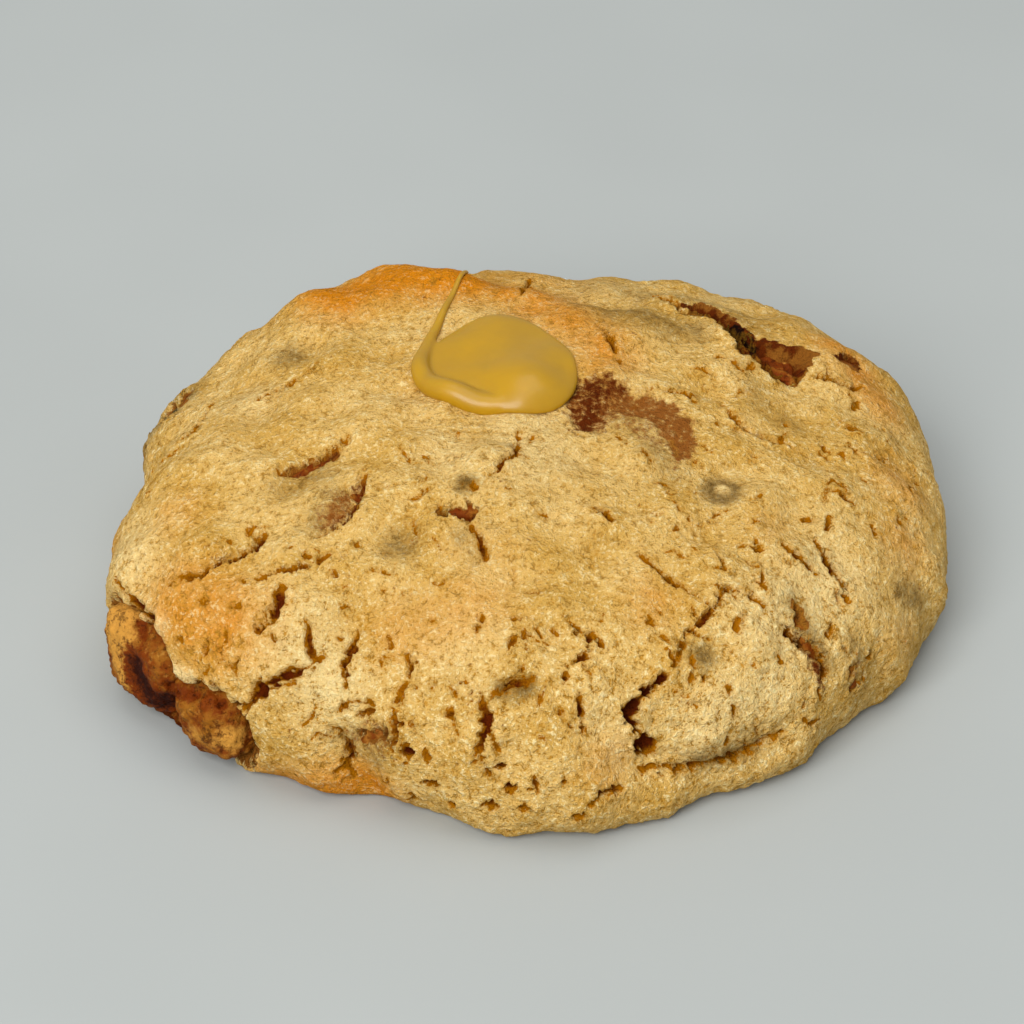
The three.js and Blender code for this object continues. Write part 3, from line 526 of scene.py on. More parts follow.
@dataclass(frozen=True)
class Dome:
    """The lopsided dome of the cookie, with its swells and its fine unevenness. All in millimetres."""

    height: float = 21.5
    widest_at: float = 6.5
    foot_share: float = 0.9
    power: float = 2.25
    mean_radius: float = 38.5
    crown: Place = (-2.0, 5.0)
    outline: tuple[float, ...] = (40.5, 40, 37, 30.5, 30.5, 32, 34, 35, 36, 41, 40, 37, 39, 37.5, 39, 40.5)
    centring: Place = (-0.647, 2.782)
    foot_fade: float = 0.05
    foot_margin: float = 0.01
    normal_step: float = 0.2
    waves: int = 12
    wave_rise: float = 0.11
    longest_wave: float = 15.0
    shortest_wave: float = 5.0
    swells: tuple[Swell, ...] = SWELLS

    @cached_property
    def profile(self) -> tuple[Array, Array, Array]:
        """Length walked from the crown, reach and height along the dome's profile."""
        over = np.linspace(0, math.pi / 2, 301)
        under = np.linspace(0, math.pi / 2, 301)[1:]
        power = 2 / self.power
        lift = self.widest_at + (self.height - self.widest_at) * np.clip(np.cos(over), 0, 1) ** power
        tucked = self.foot_share + (1 - self.foot_share) * np.cos(under)
        reach = np.concatenate([np.sin(over) ** power, tucked])
        height = np.concatenate([lift, self.widest_at * (1 - np.sin(under))])
        steps = np.hypot(np.diff(reach) * self.mean_radius, np.diff(height))
        return np.concatenate([[0], np.cumsum(steps)]), reach, height

    def radius(self, angle: Array) -> Array:
        """The dome's widest radius at each angle."""
        values = np.array(self.outline)
        count = len(values)
        turn = (angle / (2 * math.pi) * count) % count
        i = np.floor(turn).astype(int)
        return between(*(values[(i + k) % count] for k in (-1, 0, 1, 2)), turn - i)

    def walk(self, angle: Array) -> Array:
        """How far it is from crown to foot along the crust, at each angle."""
        return self.profile[0][-1] * self.radius(angle) / self.mean_radius

    def share(self, x: Array, y: Array) -> Array:
        """The share of the way from crown to foot at places on the map."""
        return np.clip(np.hypot(x, y) / self.walk(np.arctan2(y, x)), 0, 1)

    def bare(self, x: Array, y: Array) -> Array:
        """The dome without swells at places on the map, one point per row."""
        angle = np.arctan2(y, x)
        share = self.share(x, y)
        walked, reach, height = self.profile
        goal = share * walked[-1]
        radius = self.radius(angle) * np.interp(goal, walked, reach)
        lean = 1 - share**2
        return np.stack(
            [
                self.crown[0] * lean + radius * np.cos(angle),
                self.crown[1] * lean + radius * np.sin(angle),
                np.interp(goal, walked, height),
            ],
            axis=-1,
        )

    def at(self, place: Place) -> Array:
        """The point of the bare dome at one place on the map."""
        return self.bare(np.array([place[0]]), np.array([place[1]]))[0]

    def fade(self, x: Array, y: Array) -> Array:
        """A share that is 1 over most of the map and fades to 0 at the foot."""
        return np.clip((1 - self.share(x, y)) / self.foot_fade, 0, 1)

    def lifted(self, x: Array, y: Array, lift: Array) -> Array:
        """Points at a lift over the bare dome, at places on the map."""
        return self.bare(x, y) + self.outward(x, y) * lift[:, None]

    def outward(self, x: Array, y: Array) -> Array:
        """The dome's outward direction at places on the map."""
        step = self.normal_step
        u, v = x * (1 - self.foot_margin), y * (1 - self.foot_margin)
        along_x = self.bare(u + step, v) - self.bare(u - step, v)
        along_y = self.bare(u, v + step) - self.bare(u, v - step)
        normal = np.cross(along_x, along_y)
        return normal / np.linalg.norm(normal, axis=-1, keepdims=True)

    def route(self, route: Route, step: float) -> Array:
        """Points of the bare dome along a route on the map.

        Args:
            route: The corners of the route.
            step: The most that two points lie apart on the map.

        Returns:
            The points, one per row.
        """
        corners = np.array(route, float)
        if len(corners) == 1:
            return self.bare(corners[:, 0], corners[:, 1])
        parts = []
        for a, b in zip(corners[:-1], corners[1:]):
            count = max(1, math.ceil(np.linalg.norm(b - a) / step))
            parts.append(a + (b - a) * (np.arange(count) / count)[:, None])
        places = np.concatenate([*parts, corners[-1:]])
        return self.bare(places[:, 0], places[:, 1])

    def rise(self, points: Array) -> Array:
        """How far the swells and the fine unevenness lift the crust at points of the bare dome."""
        total = np.zeros(len(points))
        for swell in self.swells:
            line = self.route(swell.route, 0.5)
            total += swell.rise * np.exp(-squared_gaps(points, line) / (2 * swell.spread**2))
        for i in range(self.waves):
            up = 1 - (i + 0.5) / self.waves
            flat = math.sqrt(1 - up * up)
            way = np.array([flat * math.cos(i * GOLDEN_ANGLE), flat * math.sin(i * GOLDEN_ANGLE), up])
            length = self.longest_wave * (self.shortest_wave / self.longest_wave) ** (i / (self.waves - 1))
            total += self.wave_rise * np.sin(2 * math.pi * (points @ way) / length + i)
        return total

    def crust(self, x: Array, y: Array, lift: Array | float) -> Array:
        """Points at some lift over the crust, at places on the map."""
        x, y = np.atleast_1d(np.asarray(x, float)), np.atleast_1d(np.asarray(y, float))
        return self.lifted(x, y, self.rise(self.bare(x, y)) * self.fade(x, y) + lift)

    def stains(self, bare: Array, stains: tuple[Stain, ...], most: float = 1.0) -> Array:
        """The strength of a kind of stain at each point, from 0 to the most it can be."""
        total = np.zeros(len(bare))
        for stain in stains:
            line = self.route(stain.route, 0.6)
            share = stain.strength * np.exp(-squared_gaps(bare, line) / stain.reach**2)
            total = total + share if stain.strength < 0 else np.maximum(total, share)
        return np.clip(total, 0, most)

    def seated(self, points: Array) -> Array:
        """Points in millimetres over the dome's own middle, moved to the shared frame in metres."""
        return (points + np.array([*self.centring, 0.0])) * MM

    def axes_at(self, place: Place, turn: float) -> tuple[Array, Array, Array]:
        """Directions along, across and out of the crust at a place, with the first turned by degrees."""
        x, y = np.array([place[0]]), np.array([place[1]])
        out = self.outward(x, y)[0]
        right = (self.bare(x + 1, y) - self.bare(x - 1, y))[0]
        right -= out * (right @ out)
        right /= np.linalg.norm(right)
        side = np.cross(out, right)
        angle = math.radians(turn)
        along = right * math.cos(angle) + side * math.sin(angle)
        return along, np.cross(out, along), out


class Modeller:
    """Small steps that each piece takes in Blender."""

    @staticmethod
    def clear_selection() -> None:
        """Deselects everything, in object mode."""
        if bpy.context.object and bpy.context.object.mode != "OBJECT":
            bpy.ops.object.mode_set(mode="OBJECT")
        bpy.ops.object.select_all(action="DESELECT")

    @staticmethod
    def choose(*pieces: Piece) -> None:
        """Selects some pieces alone, with the last of them active."""
        Modeller.clear_selection()
        for piece in pieces:
            piece.select_set(True)
        bpy.context.view_layer.objects.active = pieces[-1]

    @staticmethod
    def named(name: str) -> Piece:
        """The active object, with its own name and mesh name."""
        piece = bpy.context.object
        piece.name = name
        piece.data.name = name
        return piece

    @staticmethod
    def points(piece: Piece) -> Array:
        """A mesh's vertices, one per row."""
        flat = np.empty(len(piece.data.vertices) * 3)
        piece.data.vertices.foreach_get("co", flat)
        return flat.reshape(-1, 3)

    @staticmethod
    def ball(name: str) -> tuple[Piece, Array]:
        """A new fine ball, and its vertices at a distance of 1 from its middle."""
        Modeller.clear_selection()
        bpy.ops.mesh.primitive_ico_sphere_add(subdivisions=6, radius=1)
        piece = Modeller.named(name)
        points = Modeller.points(piece)
        return piece, points / np.linalg.norm(points, axis=1, keepdims=True)

    @staticmethod
    def move_to(piece: Piece, points: Array) -> None:
        """Puts a mesh's vertices at new points."""
        piece.data.vertices.foreach_set("co", np.ascontiguousarray(points, float).ravel())
        piece.data.update()

    @staticmethod
    def subdivide(piece: Piece, chosen: Array, cuts: int) -> None:
        """Cuts the faces between chosen vertices into smaller ones."""
        bpy.ops.object.mode_set(mode="EDIT")
        bpy.ops.mesh.select_mode(type="VERT")
        bpy.ops.mesh.select_all(action="DESELECT")
        bpy.ops.object.mode_set(mode="OBJECT")
        piece.data.vertices.foreach_set("select", chosen)
        bpy.ops.object.mode_set(mode="EDIT")
        bpy.ops.mesh.select_mode(type="VERT")
        bpy.ops.mesh.subdivide(number_cuts=cuts)
        bpy.ops.mesh.select_all(action="SELECT")
        bpy.ops.mesh.quads_convert_to_tris()
        bpy.ops.object.mode_set(mode="OBJECT")

    @staticmethod
    def paint(piece: Piece, name: str, values: Array) -> None:
        """Keeps one value for each vertex under a name that materials can read."""
        layer = piece.data.attributes.new(name, "FLOAT", "POINT")
        layer.data.foreach_set("value", np.ascontiguousarray(values, np.float32))

    @staticmethod
    def weigh(piece: Piece, name: str, values: Array) -> None:
        """Keeps one weight for each vertex in a vertex group."""
        group = piece.vertex_groups.new(name=name)
        steps = np.round(np.clip(values, 0, 1) * 10).astype(int)
        for step in range(1, 11):
            members = np.nonzero(steps == step)[0].tolist()
            if members:
                group.add(members, step / 10, "REPLACE")

    @staticmethod
    def apply_modifiers(piece: Piece) -> None:
        """Applies every modifier of a piece, in order."""
        Modeller.choose(piece)
        for modifier in list(piece.modifiers):
            bpy.ops.object.modifier_apply(modifier=modifier.name)

    @staticmethod
    def finish(piece: Piece, nodes: tuple[str, ...], slot: str, material: bpy.types.Material) -> None:
        """Dresses a finished piece and puts it in the place of its solids."""
        piece.data.materials.clear()
        piece.data.materials.append(material)
        for polygon in piece.data.polygons:
            polygon.use_smooth = True
        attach(piece, "root")
        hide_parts(*nodes)
        log.info("%s: %d vertices, %d faces", piece.name, len(piece.data.vertices), len(piece.data.polygons))


@dataclass(frozen=True)
class Sheet:
    """The crust's points: their places on the map and on the bare dome, and how far edges wander there."""

    x: Array
    y: Array
    bare: Array
    edges: Array


@dataclass
class DoughCrust:
    """The baked dough: a crust with cracks, tears, crumbs and openings over the chocolate, on a flat base."""

    dome: Dome
    cuts: tuple[int, ...] = (10, 11)
    fine_reach: float = 0.8
    most_triangles: int = 196_000
    route_step: float = 0.7
    ragged: float = 0.25
    crumb: float = 0.75
    far: float = 3.0
    seed: int = 11
    lumps: tuple[tuple[float, float], ...] = ((3.2, 0.2), (1.5, 0.12))
    crumb_sizes: tuple[tuple[float, float], ...] = ((1.7, 0.3), (0.9, 0.2))
    finest: tuple[tuple[str, str, float, float], ...] = (
        ("crumbs", "VORONOI", 0.7, 0.16),
        ("sugar", "CLOUDS", 0.45, 0.2),
    )
    front_band: Place = (8.0, 26.0)
    height_band: Place = (-19.0, -14.0)
    wall_band: Place = (28.0, 37.0)
    crack_reach: float = 0.8
    least_coarse: float = 0.18
    least_crumbly: float = 0.35
    warp: float = 0.35
    torn_rise: float = 0.55
    base_gap: float = 0.02
    taper_power: float = 0.45
    wall_run: float = 0.14
    ramp_share: float = 0.85
    tear_turn: float = 1.0
    tear_length: float = 1.9
    tear_bend: float = 0.35
    corner: float = math.radians(60)

    def build(self) -> Piece:
        """Makes the finished dough without its material.

        Returns:
            The dough, with the masks that its material reads.
        """
        dough = self.disc()
        sheet = self.sheet(dough)
        bare = sheet.bare
        fade = self.dome.fade(sheet.x, sheet.y)
        deep, rim = self.cracks(sheet)
        opened = self.openings(sheet)
        molten, sunk = self.patches(sheet, MOLTEN)
        film, dipped = self.patches(sheet, FILMS)
        browned = self.dome.stains(bare, BROWNED)
        coarse = self.coarseness(bare, rim) * (1 - 0.5 * browned) * (1 - 0.3 * film)
        molten = np.maximum(molten, np.clip(opened, 0, 1))
        torn = self.torn_rise * molten * (crumbs(bare, 1.2, 3.0) - 0.5)
        lift = self.dome.rise(bare) + self.relief(bare, coarse) + torn - deep - opened - sunk - dipped
        points = self.dome.lifted(sheet.x, sheet.y, lift * fade)
        points[:, 2] = np.where(fade > 0, np.maximum(points[:, 2], self.base_gap), 0)
        Modeller.move_to(dough, self.dome.seated(points))
        masks = {
            "rim": rim,
            "deep": np.clip(deep, 0, 3),
            "molten": molten,
            "film": film,
            "coarse": coarse,
            "browned": browned,
            "cocoa": self.dome.stains(bare, COCOA),
            # dark chocolate tones, with painted shade that grows where the melted chocolate is sunk deepest
            "dark_and_shade": np.maximum(self.dome.stains(bare, DARK_AND_SHADE, 1.5), smooth(sunk, 0.9, 1.9)),
            "pale": self.dome.stains(bare, PALE),
        }
        for name, values in masks.items():
            Modeller.paint(dough, name, values)
        Modeller.weigh(dough, "crumbly", fade * (self.least_crumbly + (1 - self.least_crumbly) * coarse))
        self.crumble(dough)
        self.close_base(dough)
        return dough

    def disc(self) -> Piece:
        """A six-sided disc cut into even triangles, finer along cracks, to be draped over the dome."""
        Modeller.clear_selection()
        bpy.ops.mesh.primitive_circle_add(vertices=6, radius=1, fill_type="TRIFAN")
        dough = Modeller.named("cookie_dough")
        for cuts in self.cuts:
            Modeller.subdivide(dough, np.ones(len(dough.data.vertices), bool), cuts)
        _, rim = self.cracks(self.sheet(dough))
        room = (self.most_triangles - len(dough.data.polygons)) / 3
        near = np.sort(np.abs(rim))
        reach = min(self.fine_reach, near[min(int(room / 2), len(near) - 1)])
        Modeller.subdivide(dough, np.abs(rim) < reach, 1)
        return dough

    def sheet(self, dough: Piece) -> Sheet:
        """The points that the flat disc's vertices stand for."""
        x, y = self.places(Modeller.points(dough))
        bare = self.dome.bare(x, y)
        return Sheet(x, y, bare, self.ragged_edge(bare))

    def places(self, flat: Array) -> tuple[Array, Array]:
        """Where each point of the flat six-sided disc goes on the crust's map."""
        start = math.pi / 2
        angle = (np.arctan2(flat[:, 1], flat[:, 0]) - start) % (2 * math.pi)
        sector = np.minimum(np.floor(angle / self.corner), 5)
        turn = angle - sector * self.corner - self.corner / 2
        share = np.hypot(flat[:, 0], flat[:, 1]) * np.cos(turn) / math.cos(self.corner / 2)
        along = 0.5 + np.tan(turn) / (2 * math.tan(self.corner / 2))
        angle = start + (sector + along) * self.corner
        walked = np.clip(share, 0, 1) * self.dome.walk(angle)
        return walked * np.cos(angle), walked * np.sin(angle)

    def coarseness(self, bare: Array, rim: Array) -> Array:
        """How crumbly the crust is at each point: most on the front wall and by cracks, least on top."""
        front = smooth(-bare[:, 1], *self.front_band) * smooth(-bare[:, 2], *self.height_band)
        front = np.maximum(front, 0.6 * smooth(np.hypot(bare[:, 0], bare[:, 1]), *self.wall_band))
        patchy = 0.5 + 0.5 * grain(bare, 7.0, 2.0)
        beside = np.exp(-np.clip(rim, 0, None) / self.crack_reach)
        return np.clip(self.least_coarse + 0.5 * front + 0.35 * patchy + 0.5 * beside, 0, 1)

    def relief(self, bare: Array, coarse: Array) -> Array:
        """The crust's small lumps and crumbs, in millimetres."""
        lumps = sum(rise * grain(bare, size, 17.0 * i) for i, (size, rise) in enumerate(self.lumps))
        for x, y, reach, rise in KNOBS:
            lumps += rise * np.exp(-((bare - self.dome.at((x, y))) ** 2).sum(1) / reach**2)
        warped = bare + self.warp * np.stack([grain(bare, 1.3, 40.0 + k) for k in range(3)], axis=1)
        fine = sum(
            rise * (crumbs(warped, size, 7.0 * i) - 0.5) for i, (size, rise) in enumerate(self.crumb_sizes)
        )
        return lumps + fine * coarse

    def ragged_edge(self, bare: Array) -> Array:
        """How far edges wander from their line at each point."""
        return self.ragged * (crumb_draws(bare, self.crumb) + 0.5 * grain(bare, 0.45, 9.0))

    def groove(self, sheet: Sheet, crack: Crack, deep: Array, rim: Array) -> None:
        """Cuts one crack.

        Args:
            sheet: The crust's points.
            crack: The crack.
            deep: The depth cut so far at each point, which grows.
            rim: The distance to the nearest crack's edge at each point, below 0 inside it, which shrinks.
        """
        line = self.dome.route(crack.route, self.route_step)
        reach = crack.width + max(1.4, crack.slope)
        inside_box = (sheet.bare > line.min(0) - reach) & (sheet.bare < line.max(0) + reach)
        near = np.nonzero(inside_box.all(1))[0]
        if not len(near):
            return
        points, edges = sheet.bare[near], sheet.edges[near]
        best = np.full(len(near), 1e9)
        share, left = np.zeros(len(near)), np.zeros(len(near))
        out = line.mean(0) - np.array([*self.dome.crown, -self.dome.height])
        steps = len(line) - 1
        for i, (a, b) in enumerate(zip(line[:-1], line[1:])):
            way = b - a
            t = np.clip((points - a) @ way / (way @ way), 0, 1)
            offset = points - a - t[:, None] * way
            gap = np.linalg.norm(offset, axis=1)
            closer = gap < best
            best = np.where(closer, gap, best)
            share = np.where(closer, (i + t) / steps, share)
            left = np.where(closer, offset @ np.cross(out, way), left)
        taper = np.sin(math.pi * np.clip(share, 0.03, 0.97)) ** self.taper_power
        half = crack.width * taper
        distance = best + edges * min(1.0, crack.width / 0.35) - half
        wall = np.clip(-distance / (0.3 * half + self.wall_run), 0, 1)
        cut = crack.depth * taper * wall * (2 - wall)
        if crack.slope:
            ramp = np.clip(1 - (best + 0.6 * edges) / (crack.slope * taper), 0, 1)
            sloped = crack.depth * taper * self.ramp_share * ramp
            cut = np.where(left > 0, np.maximum(cut, sloped), cut)
        beside = np.exp(-(((best - half * 1.6) / (0.45 + crack.width / 2)) ** 2)) * (distance > 0)
        lip = crack.lip * taper * beside * (deep[near] <= 0)
        deep[near] = np.where(cut > 0, np.maximum(deep[near], cut), deep[near] - lip)
        rim[near] = np.minimum(rim[near], distance)

    def cracks(self, sheet: Sheet) -> tuple[Array, Array]:
        """Cuts all cracks, pits and tears.

        Args:
            sheet: The crust's points.

        Returns:
            How deep the crust is cut at each point, and how far each point is from the nearest edge.
        """
        deep, rim = np.zeros(len(sheet.x)), np.full(len(sheet.x), self.far)
        pits = [
            Crack(radius, depth, ((x, y - radius / 2), (x, y + radius / 2))) for x, y, radius, depth in PITS
        ]
        for crack in (*CRACKS, *pits, *self.tears()):
            self.groove(sheet, crack, deep, rim)
        return deep, rim

    def tears(self) -> list[Crack]:
        """The many fine tears, scattered by seeded draws in each zone."""
        draw = np.random.default_rng(self.seed)
        torn = []
        for zone in Zone:
            for _ in range(zone.count):
                angle, out = draw.uniform(0, 2 * math.pi), math.sqrt(draw.uniform())
                x = zone.middle[0] + zone.across * out * math.cos(angle)
                y = zone.middle[1] + zone.down * out * math.sin(angle)
                down = math.atan2(y, x) + draw.normal(0, self.tear_turn)
                length = zone.size * draw.uniform(0.25, 1.0) ** 2 * self.tear_length
                bend = draw.normal(0, self.tear_bend)
                route = (
                    (x - length * math.cos(down), y - length * math.sin(down)),
                    (x + bend, y - bend),
                    (x + length * math.cos(down), y + length * math.sin(down)),
                )
                width = zone.size * draw.uniform(0.12, 0.36)
                torn.append(Crack(width, zone.size * draw.uniform(0.4, 0.9), route, 0.03))
        return torn

    def openings(self, sheet: Sheet) -> Array:
        """How deep the crust is opened over the chocolate pieces at each point."""
        deep = np.zeros(len(sheet.x))
        for window in WINDOWS:
            along, across, _ = self.dome.axes_at(window.place, window.turn)
            offset = sheet.bare - self.dome.at(window.place)
            near = np.nonzero((np.abs(offset) < window.half_length + 1.5).all(1))[0]
            offset = offset[near]
            u = np.abs(offset @ along) / window.half_length
            v = np.abs(offset @ across) / window.half_width
            out = (u**2.4 + v**2.4) ** (1 / 2.4) + sheet.edges[near] / window.half_width
            hole = 1 - smooth(out, 0.86, 1.04)
            lip = 0.12 * np.exp(-(((out - 1.15) * window.half_width / 0.5) ** 2))
            deep[near] = np.maximum(deep[near], window.depth * hole) - lip * (hole < 0.2)
        return deep

    def patches(self, sheet: Sheet, patches: tuple[Patch, ...]) -> tuple[Array, Array]:
        """Covers parts of the crust with melted chocolate.

        Args:
            sheet: The crust's points.
            patches: The patches.

        Returns:
            How far each point is covered, from 0 to 1, and how deep it is sunk.
        """
        cover, sunk = np.zeros(len(sheet.x)), np.zeros(len(sheet.x))
        for patch in patches:
            line = self.dome.route((*patch.route, patch.route[0]), 0.3)
            gap = np.sqrt(squared_gaps(sheet.bare, line))
            gap = np.where(inside(sheet.x, sheet.y, patch.route), gap, -gap) - 0.6 * sheet.edges
            cover = np.maximum(cover, patch.strength * smooth(gap, -patch.soft, patch.soft))
            sunk = np.maximum(sunk, patch.depth * smooth(gap, -0.1, patch.reach))
        return cover, sunk

    def crumble(self, dough: Piece) -> None:
        """Gives the crust its finest crumbs with displacement that is applied to the mesh."""
        for name, kind, size, rise in self.finest:
            texture = bpy.data.textures.new(name, kind)
            texture.noise_scale = size * MM
            modifier = dough.modifiers.new(name, "DISPLACE")
            modifier.texture = texture
            modifier.texture_coords = "LOCAL"
            modifier.vertex_group = "crumbly"
            modifier.strength = rise * MM
            modifier.mid_level = 0.5
        Modeller.apply_modifiers(dough)

    def close_base(self, dough: Piece) -> None:
        """Closes the open rim with a flat base."""
        points = Modeller.points(dough)
        points[:, 2] = np.maximum(points[:, 2], 0)
        Modeller.move_to(dough, points)
        bpy.ops.object.mode_set(mode="EDIT")
        bpy.ops.mesh.select_all(action="DESELECT")
        bpy.ops.mesh.select_non_manifold()
        bpy.ops.mesh.edge_face_add()
        bpy.ops.mesh.quads_convert_to_tris()
        bpy.ops.mesh.select_all(action="SELECT")
        bpy.ops.mesh.normals_make_consistent(inside=False)
        bpy.ops.object.mode_set(mode="OBJECT")


@dataclass
class ChocolatePiece:
    """One chocolate piece: a blunt lump, half melted, set across the crust."""

    dome: Dome
    morsel: Morsel
    squareness: float = 0.62
    fullness: float = 0.86
    lowest: float = 0.4
    melted_down: float = 0.25
    hollow_depth: float = 0.8
    lump_size: float = 1.9
    lump_rise: float = 0.2
    crumb_size: float = 1.1
    crumb_rise: float = 0.12

    def build(self, seed: int) -> Piece:
        """Makes the piece without its material.

        Args:
            seed: The piece's number, which sets its unevenness.

        Returns:
            The piece.
        """
        piece, ball = Modeller.ball(f"cookie_{self.morsel.node}")
        uneven = 1 + 0.05 * np.sin(3.1 * ball[:, 0] + 2.3 * ball[:, 1] + seed)
        uneven += 0.04 * np.cos(4.3 * ball[:, 2] - 1.7 * ball[:, 0] + seed)
        blunt = np.sign(ball) * np.abs(ball) ** self.squareness * np.array(self.morsel.size) / 2
        blunt *= (uneven * self.fullness)[:, None]
        along, across, out = self.dome.axes_at(self.morsel.place, self.morsel.turn)
        sink = self.morsel.sink + self.melted_down
        middle = self.dome.crust(self.morsel.place[0], self.morsel.place[1], -sink)[0]
        points = middle + blunt @ np.stack([along, across, out])
        crumbled = self.crumb_rise * self.morsel.rough * (crumbs(points, self.crumb_size, seed) - 0.5)
        melted = self.lump_rise * grain(points, self.lump_size, 3.0 + seed) + crumbled
        hollow = self.dome.stains(points, HOLLOWS)
        points += ball @ np.stack([along, across, out]) * (melted - self.hollow_depth * hollow)[:, None]
        points[:, 2] = np.maximum(points[:, 2], self.lowest)
        Modeller.move_to(piece, self.dome.seated(points))
        # hollow: where the piece is dented and its material paints it darker, partly as painted shade
        Modeller.paint(piece, "hollow", hollow)
        Modeller.paint(piece, "milky", self.dome.stains(points, MILKY))
        return piece


@dataclass
class CaramelDrop:
    """The caramel: a flat pool with a rounded bead along its left and front edge, drawn out into a thread."""

    dome: Dome
    place: Place = (-0.2, 0.3)
    outline: tuple[float, ...] = (7.1, 6.7, 8, 7.7, 6.9, 5.8, 6.9, 8)
    thickness: float = 1.1
    thinning: float = 0.6
    swell_place: Place = (2.6, -3.4)
    swell_spread: float = 2.8
    swell_rise: float = 1.3
    levelling: float = 0.8
    depth: float = 0.5
    bead_route: Route = (
        (-3.8, 16.5), (-5, 12.5), (-6.1, 8.5), (-7.3, 4), (-7.9, 0.2), (-6.6, -2.6), (-4.2, -4.2),
        (-1.6, -5.2), (0.8, -5.4), (3, -4.4),
    )
    bead_radii: tuple[float, ...] = (0.3, 0.36, 0.46, 0.65, 0.95, 1.15, 1.3, 1.3, 0.9, 0.3)
    bead_lift: float = 0.25
    bead_points: int = 90
    voxel: float = 0.16
    settling: int = 30

    def build(self) -> Piece:
        """Makes the fused drop without its material.

        Returns:
            The drop.
        """
        pool = self.pool()
        Modeller.choose(self.bead(), pool)
        bpy.ops.object.join()
        drop = Modeller.named("cookie_caramel")
        fuse = drop.modifiers.new("fuse", "REMESH")
        fuse.mode = "VOXEL"
        fuse.voxel_size = self.voxel * MM
        settle = drop.modifiers.new("settle", "SMOOTH")
        settle.factor = 0.5
        settle.iterations = self.settling
        Modeller.apply_modifiers(drop)
        return drop

    def pool(self) -> Piece:
        """The flat pool, as a ball pressed flat over the crust."""
        pool, ball = Modeller.ball("pool")
        angle = np.arctan2(ball[:, 1], ball[:, 0])
        share = np.clip(np.hypot(ball[:, 0], ball[:, 1]), 0, 1)
        reach = Dome(outline=self.outline).radius(angle) * share
        x, y = reach * np.cos(angle), reach * np.sin(angle)
        far = (x - self.swell_place[0]) ** 2 + (y - self.swell_place[1]) ** 2
        swell = self.swell_rise * np.exp(-far / (2 * self.swell_spread**2))
        round_edge = np.sqrt(np.clip(1 - share**4, 0, 1))
        thinner = 1 - self.thinning * (1 - smooth(x, -6.5, 1.5))
        lift = np.where(ball[:, 2] > 0, self.thickness * thinner + swell, -self.depth) * round_edge
        x, y = self.place[0] + x, self.place[1] + y
        rise = self.dome.rise(self.dome.bare(x, y))
        level = np.where(ball[:, 2] > 0, self.levelling * (1 - share**2), 0)
        lift += rise + (rise.mean() - rise) * level
        Modeller.move_to(pool, self.dome.seated(self.dome.lifted(x, y, lift)))
        return pool

    def bead(self) -> Piece:
        """The bead and its thread, as a curve of changing thickness made a mesh."""
        x, y = self.rounded_route(self.bead_points)
        stations = np.linspace(0, len(self.bead_radii) - 1, len(x))
        radii = np.interp(stations, np.arange(len(self.bead_radii)), self.bead_radii)
        centres = self.dome.seated(self.dome.crust(x, y, radii * self.bead_lift))
        curve = bpy.data.curves.new("bead", "CURVE")
        curve.dimensions = "3D"
        curve.bevel_depth = 1.0 * MM
        curve.bevel_resolution = 6
        curve.use_fill_caps = True
        spline = curve.splines.new("POLY")
        spline.points.add(len(x) - 1)
        for point, centre, radius in zip(spline.points, centres, radii):
            point.co = (*centre, 1)
            point.radius = float(radius)
        bead = bpy.data.objects.new("bead", curve)
        bpy.context.collection.objects.link(bead)
        Modeller.choose(bead)
        bpy.ops.object.convert(target="MESH")
        return bead

    def rounded_route(self, count: int) -> tuple[Array, Array]:
        """The bead's route as a smooth line of many places on the map."""
        corners = np.array(self.bead_route)
        padded = np.concatenate([[2 * corners[0] - corners[1]], corners, [2 * corners[-1] - corners[-2]]])
        t = np.linspace(0, len(corners) - 1, count)
        i = np.minimum(t.astype(int), len(corners) - 2)
        line = between(*(padded[i + k] for k in range(4)), (t - i)[:, None])
        return line[:, 0], line[:, 1]


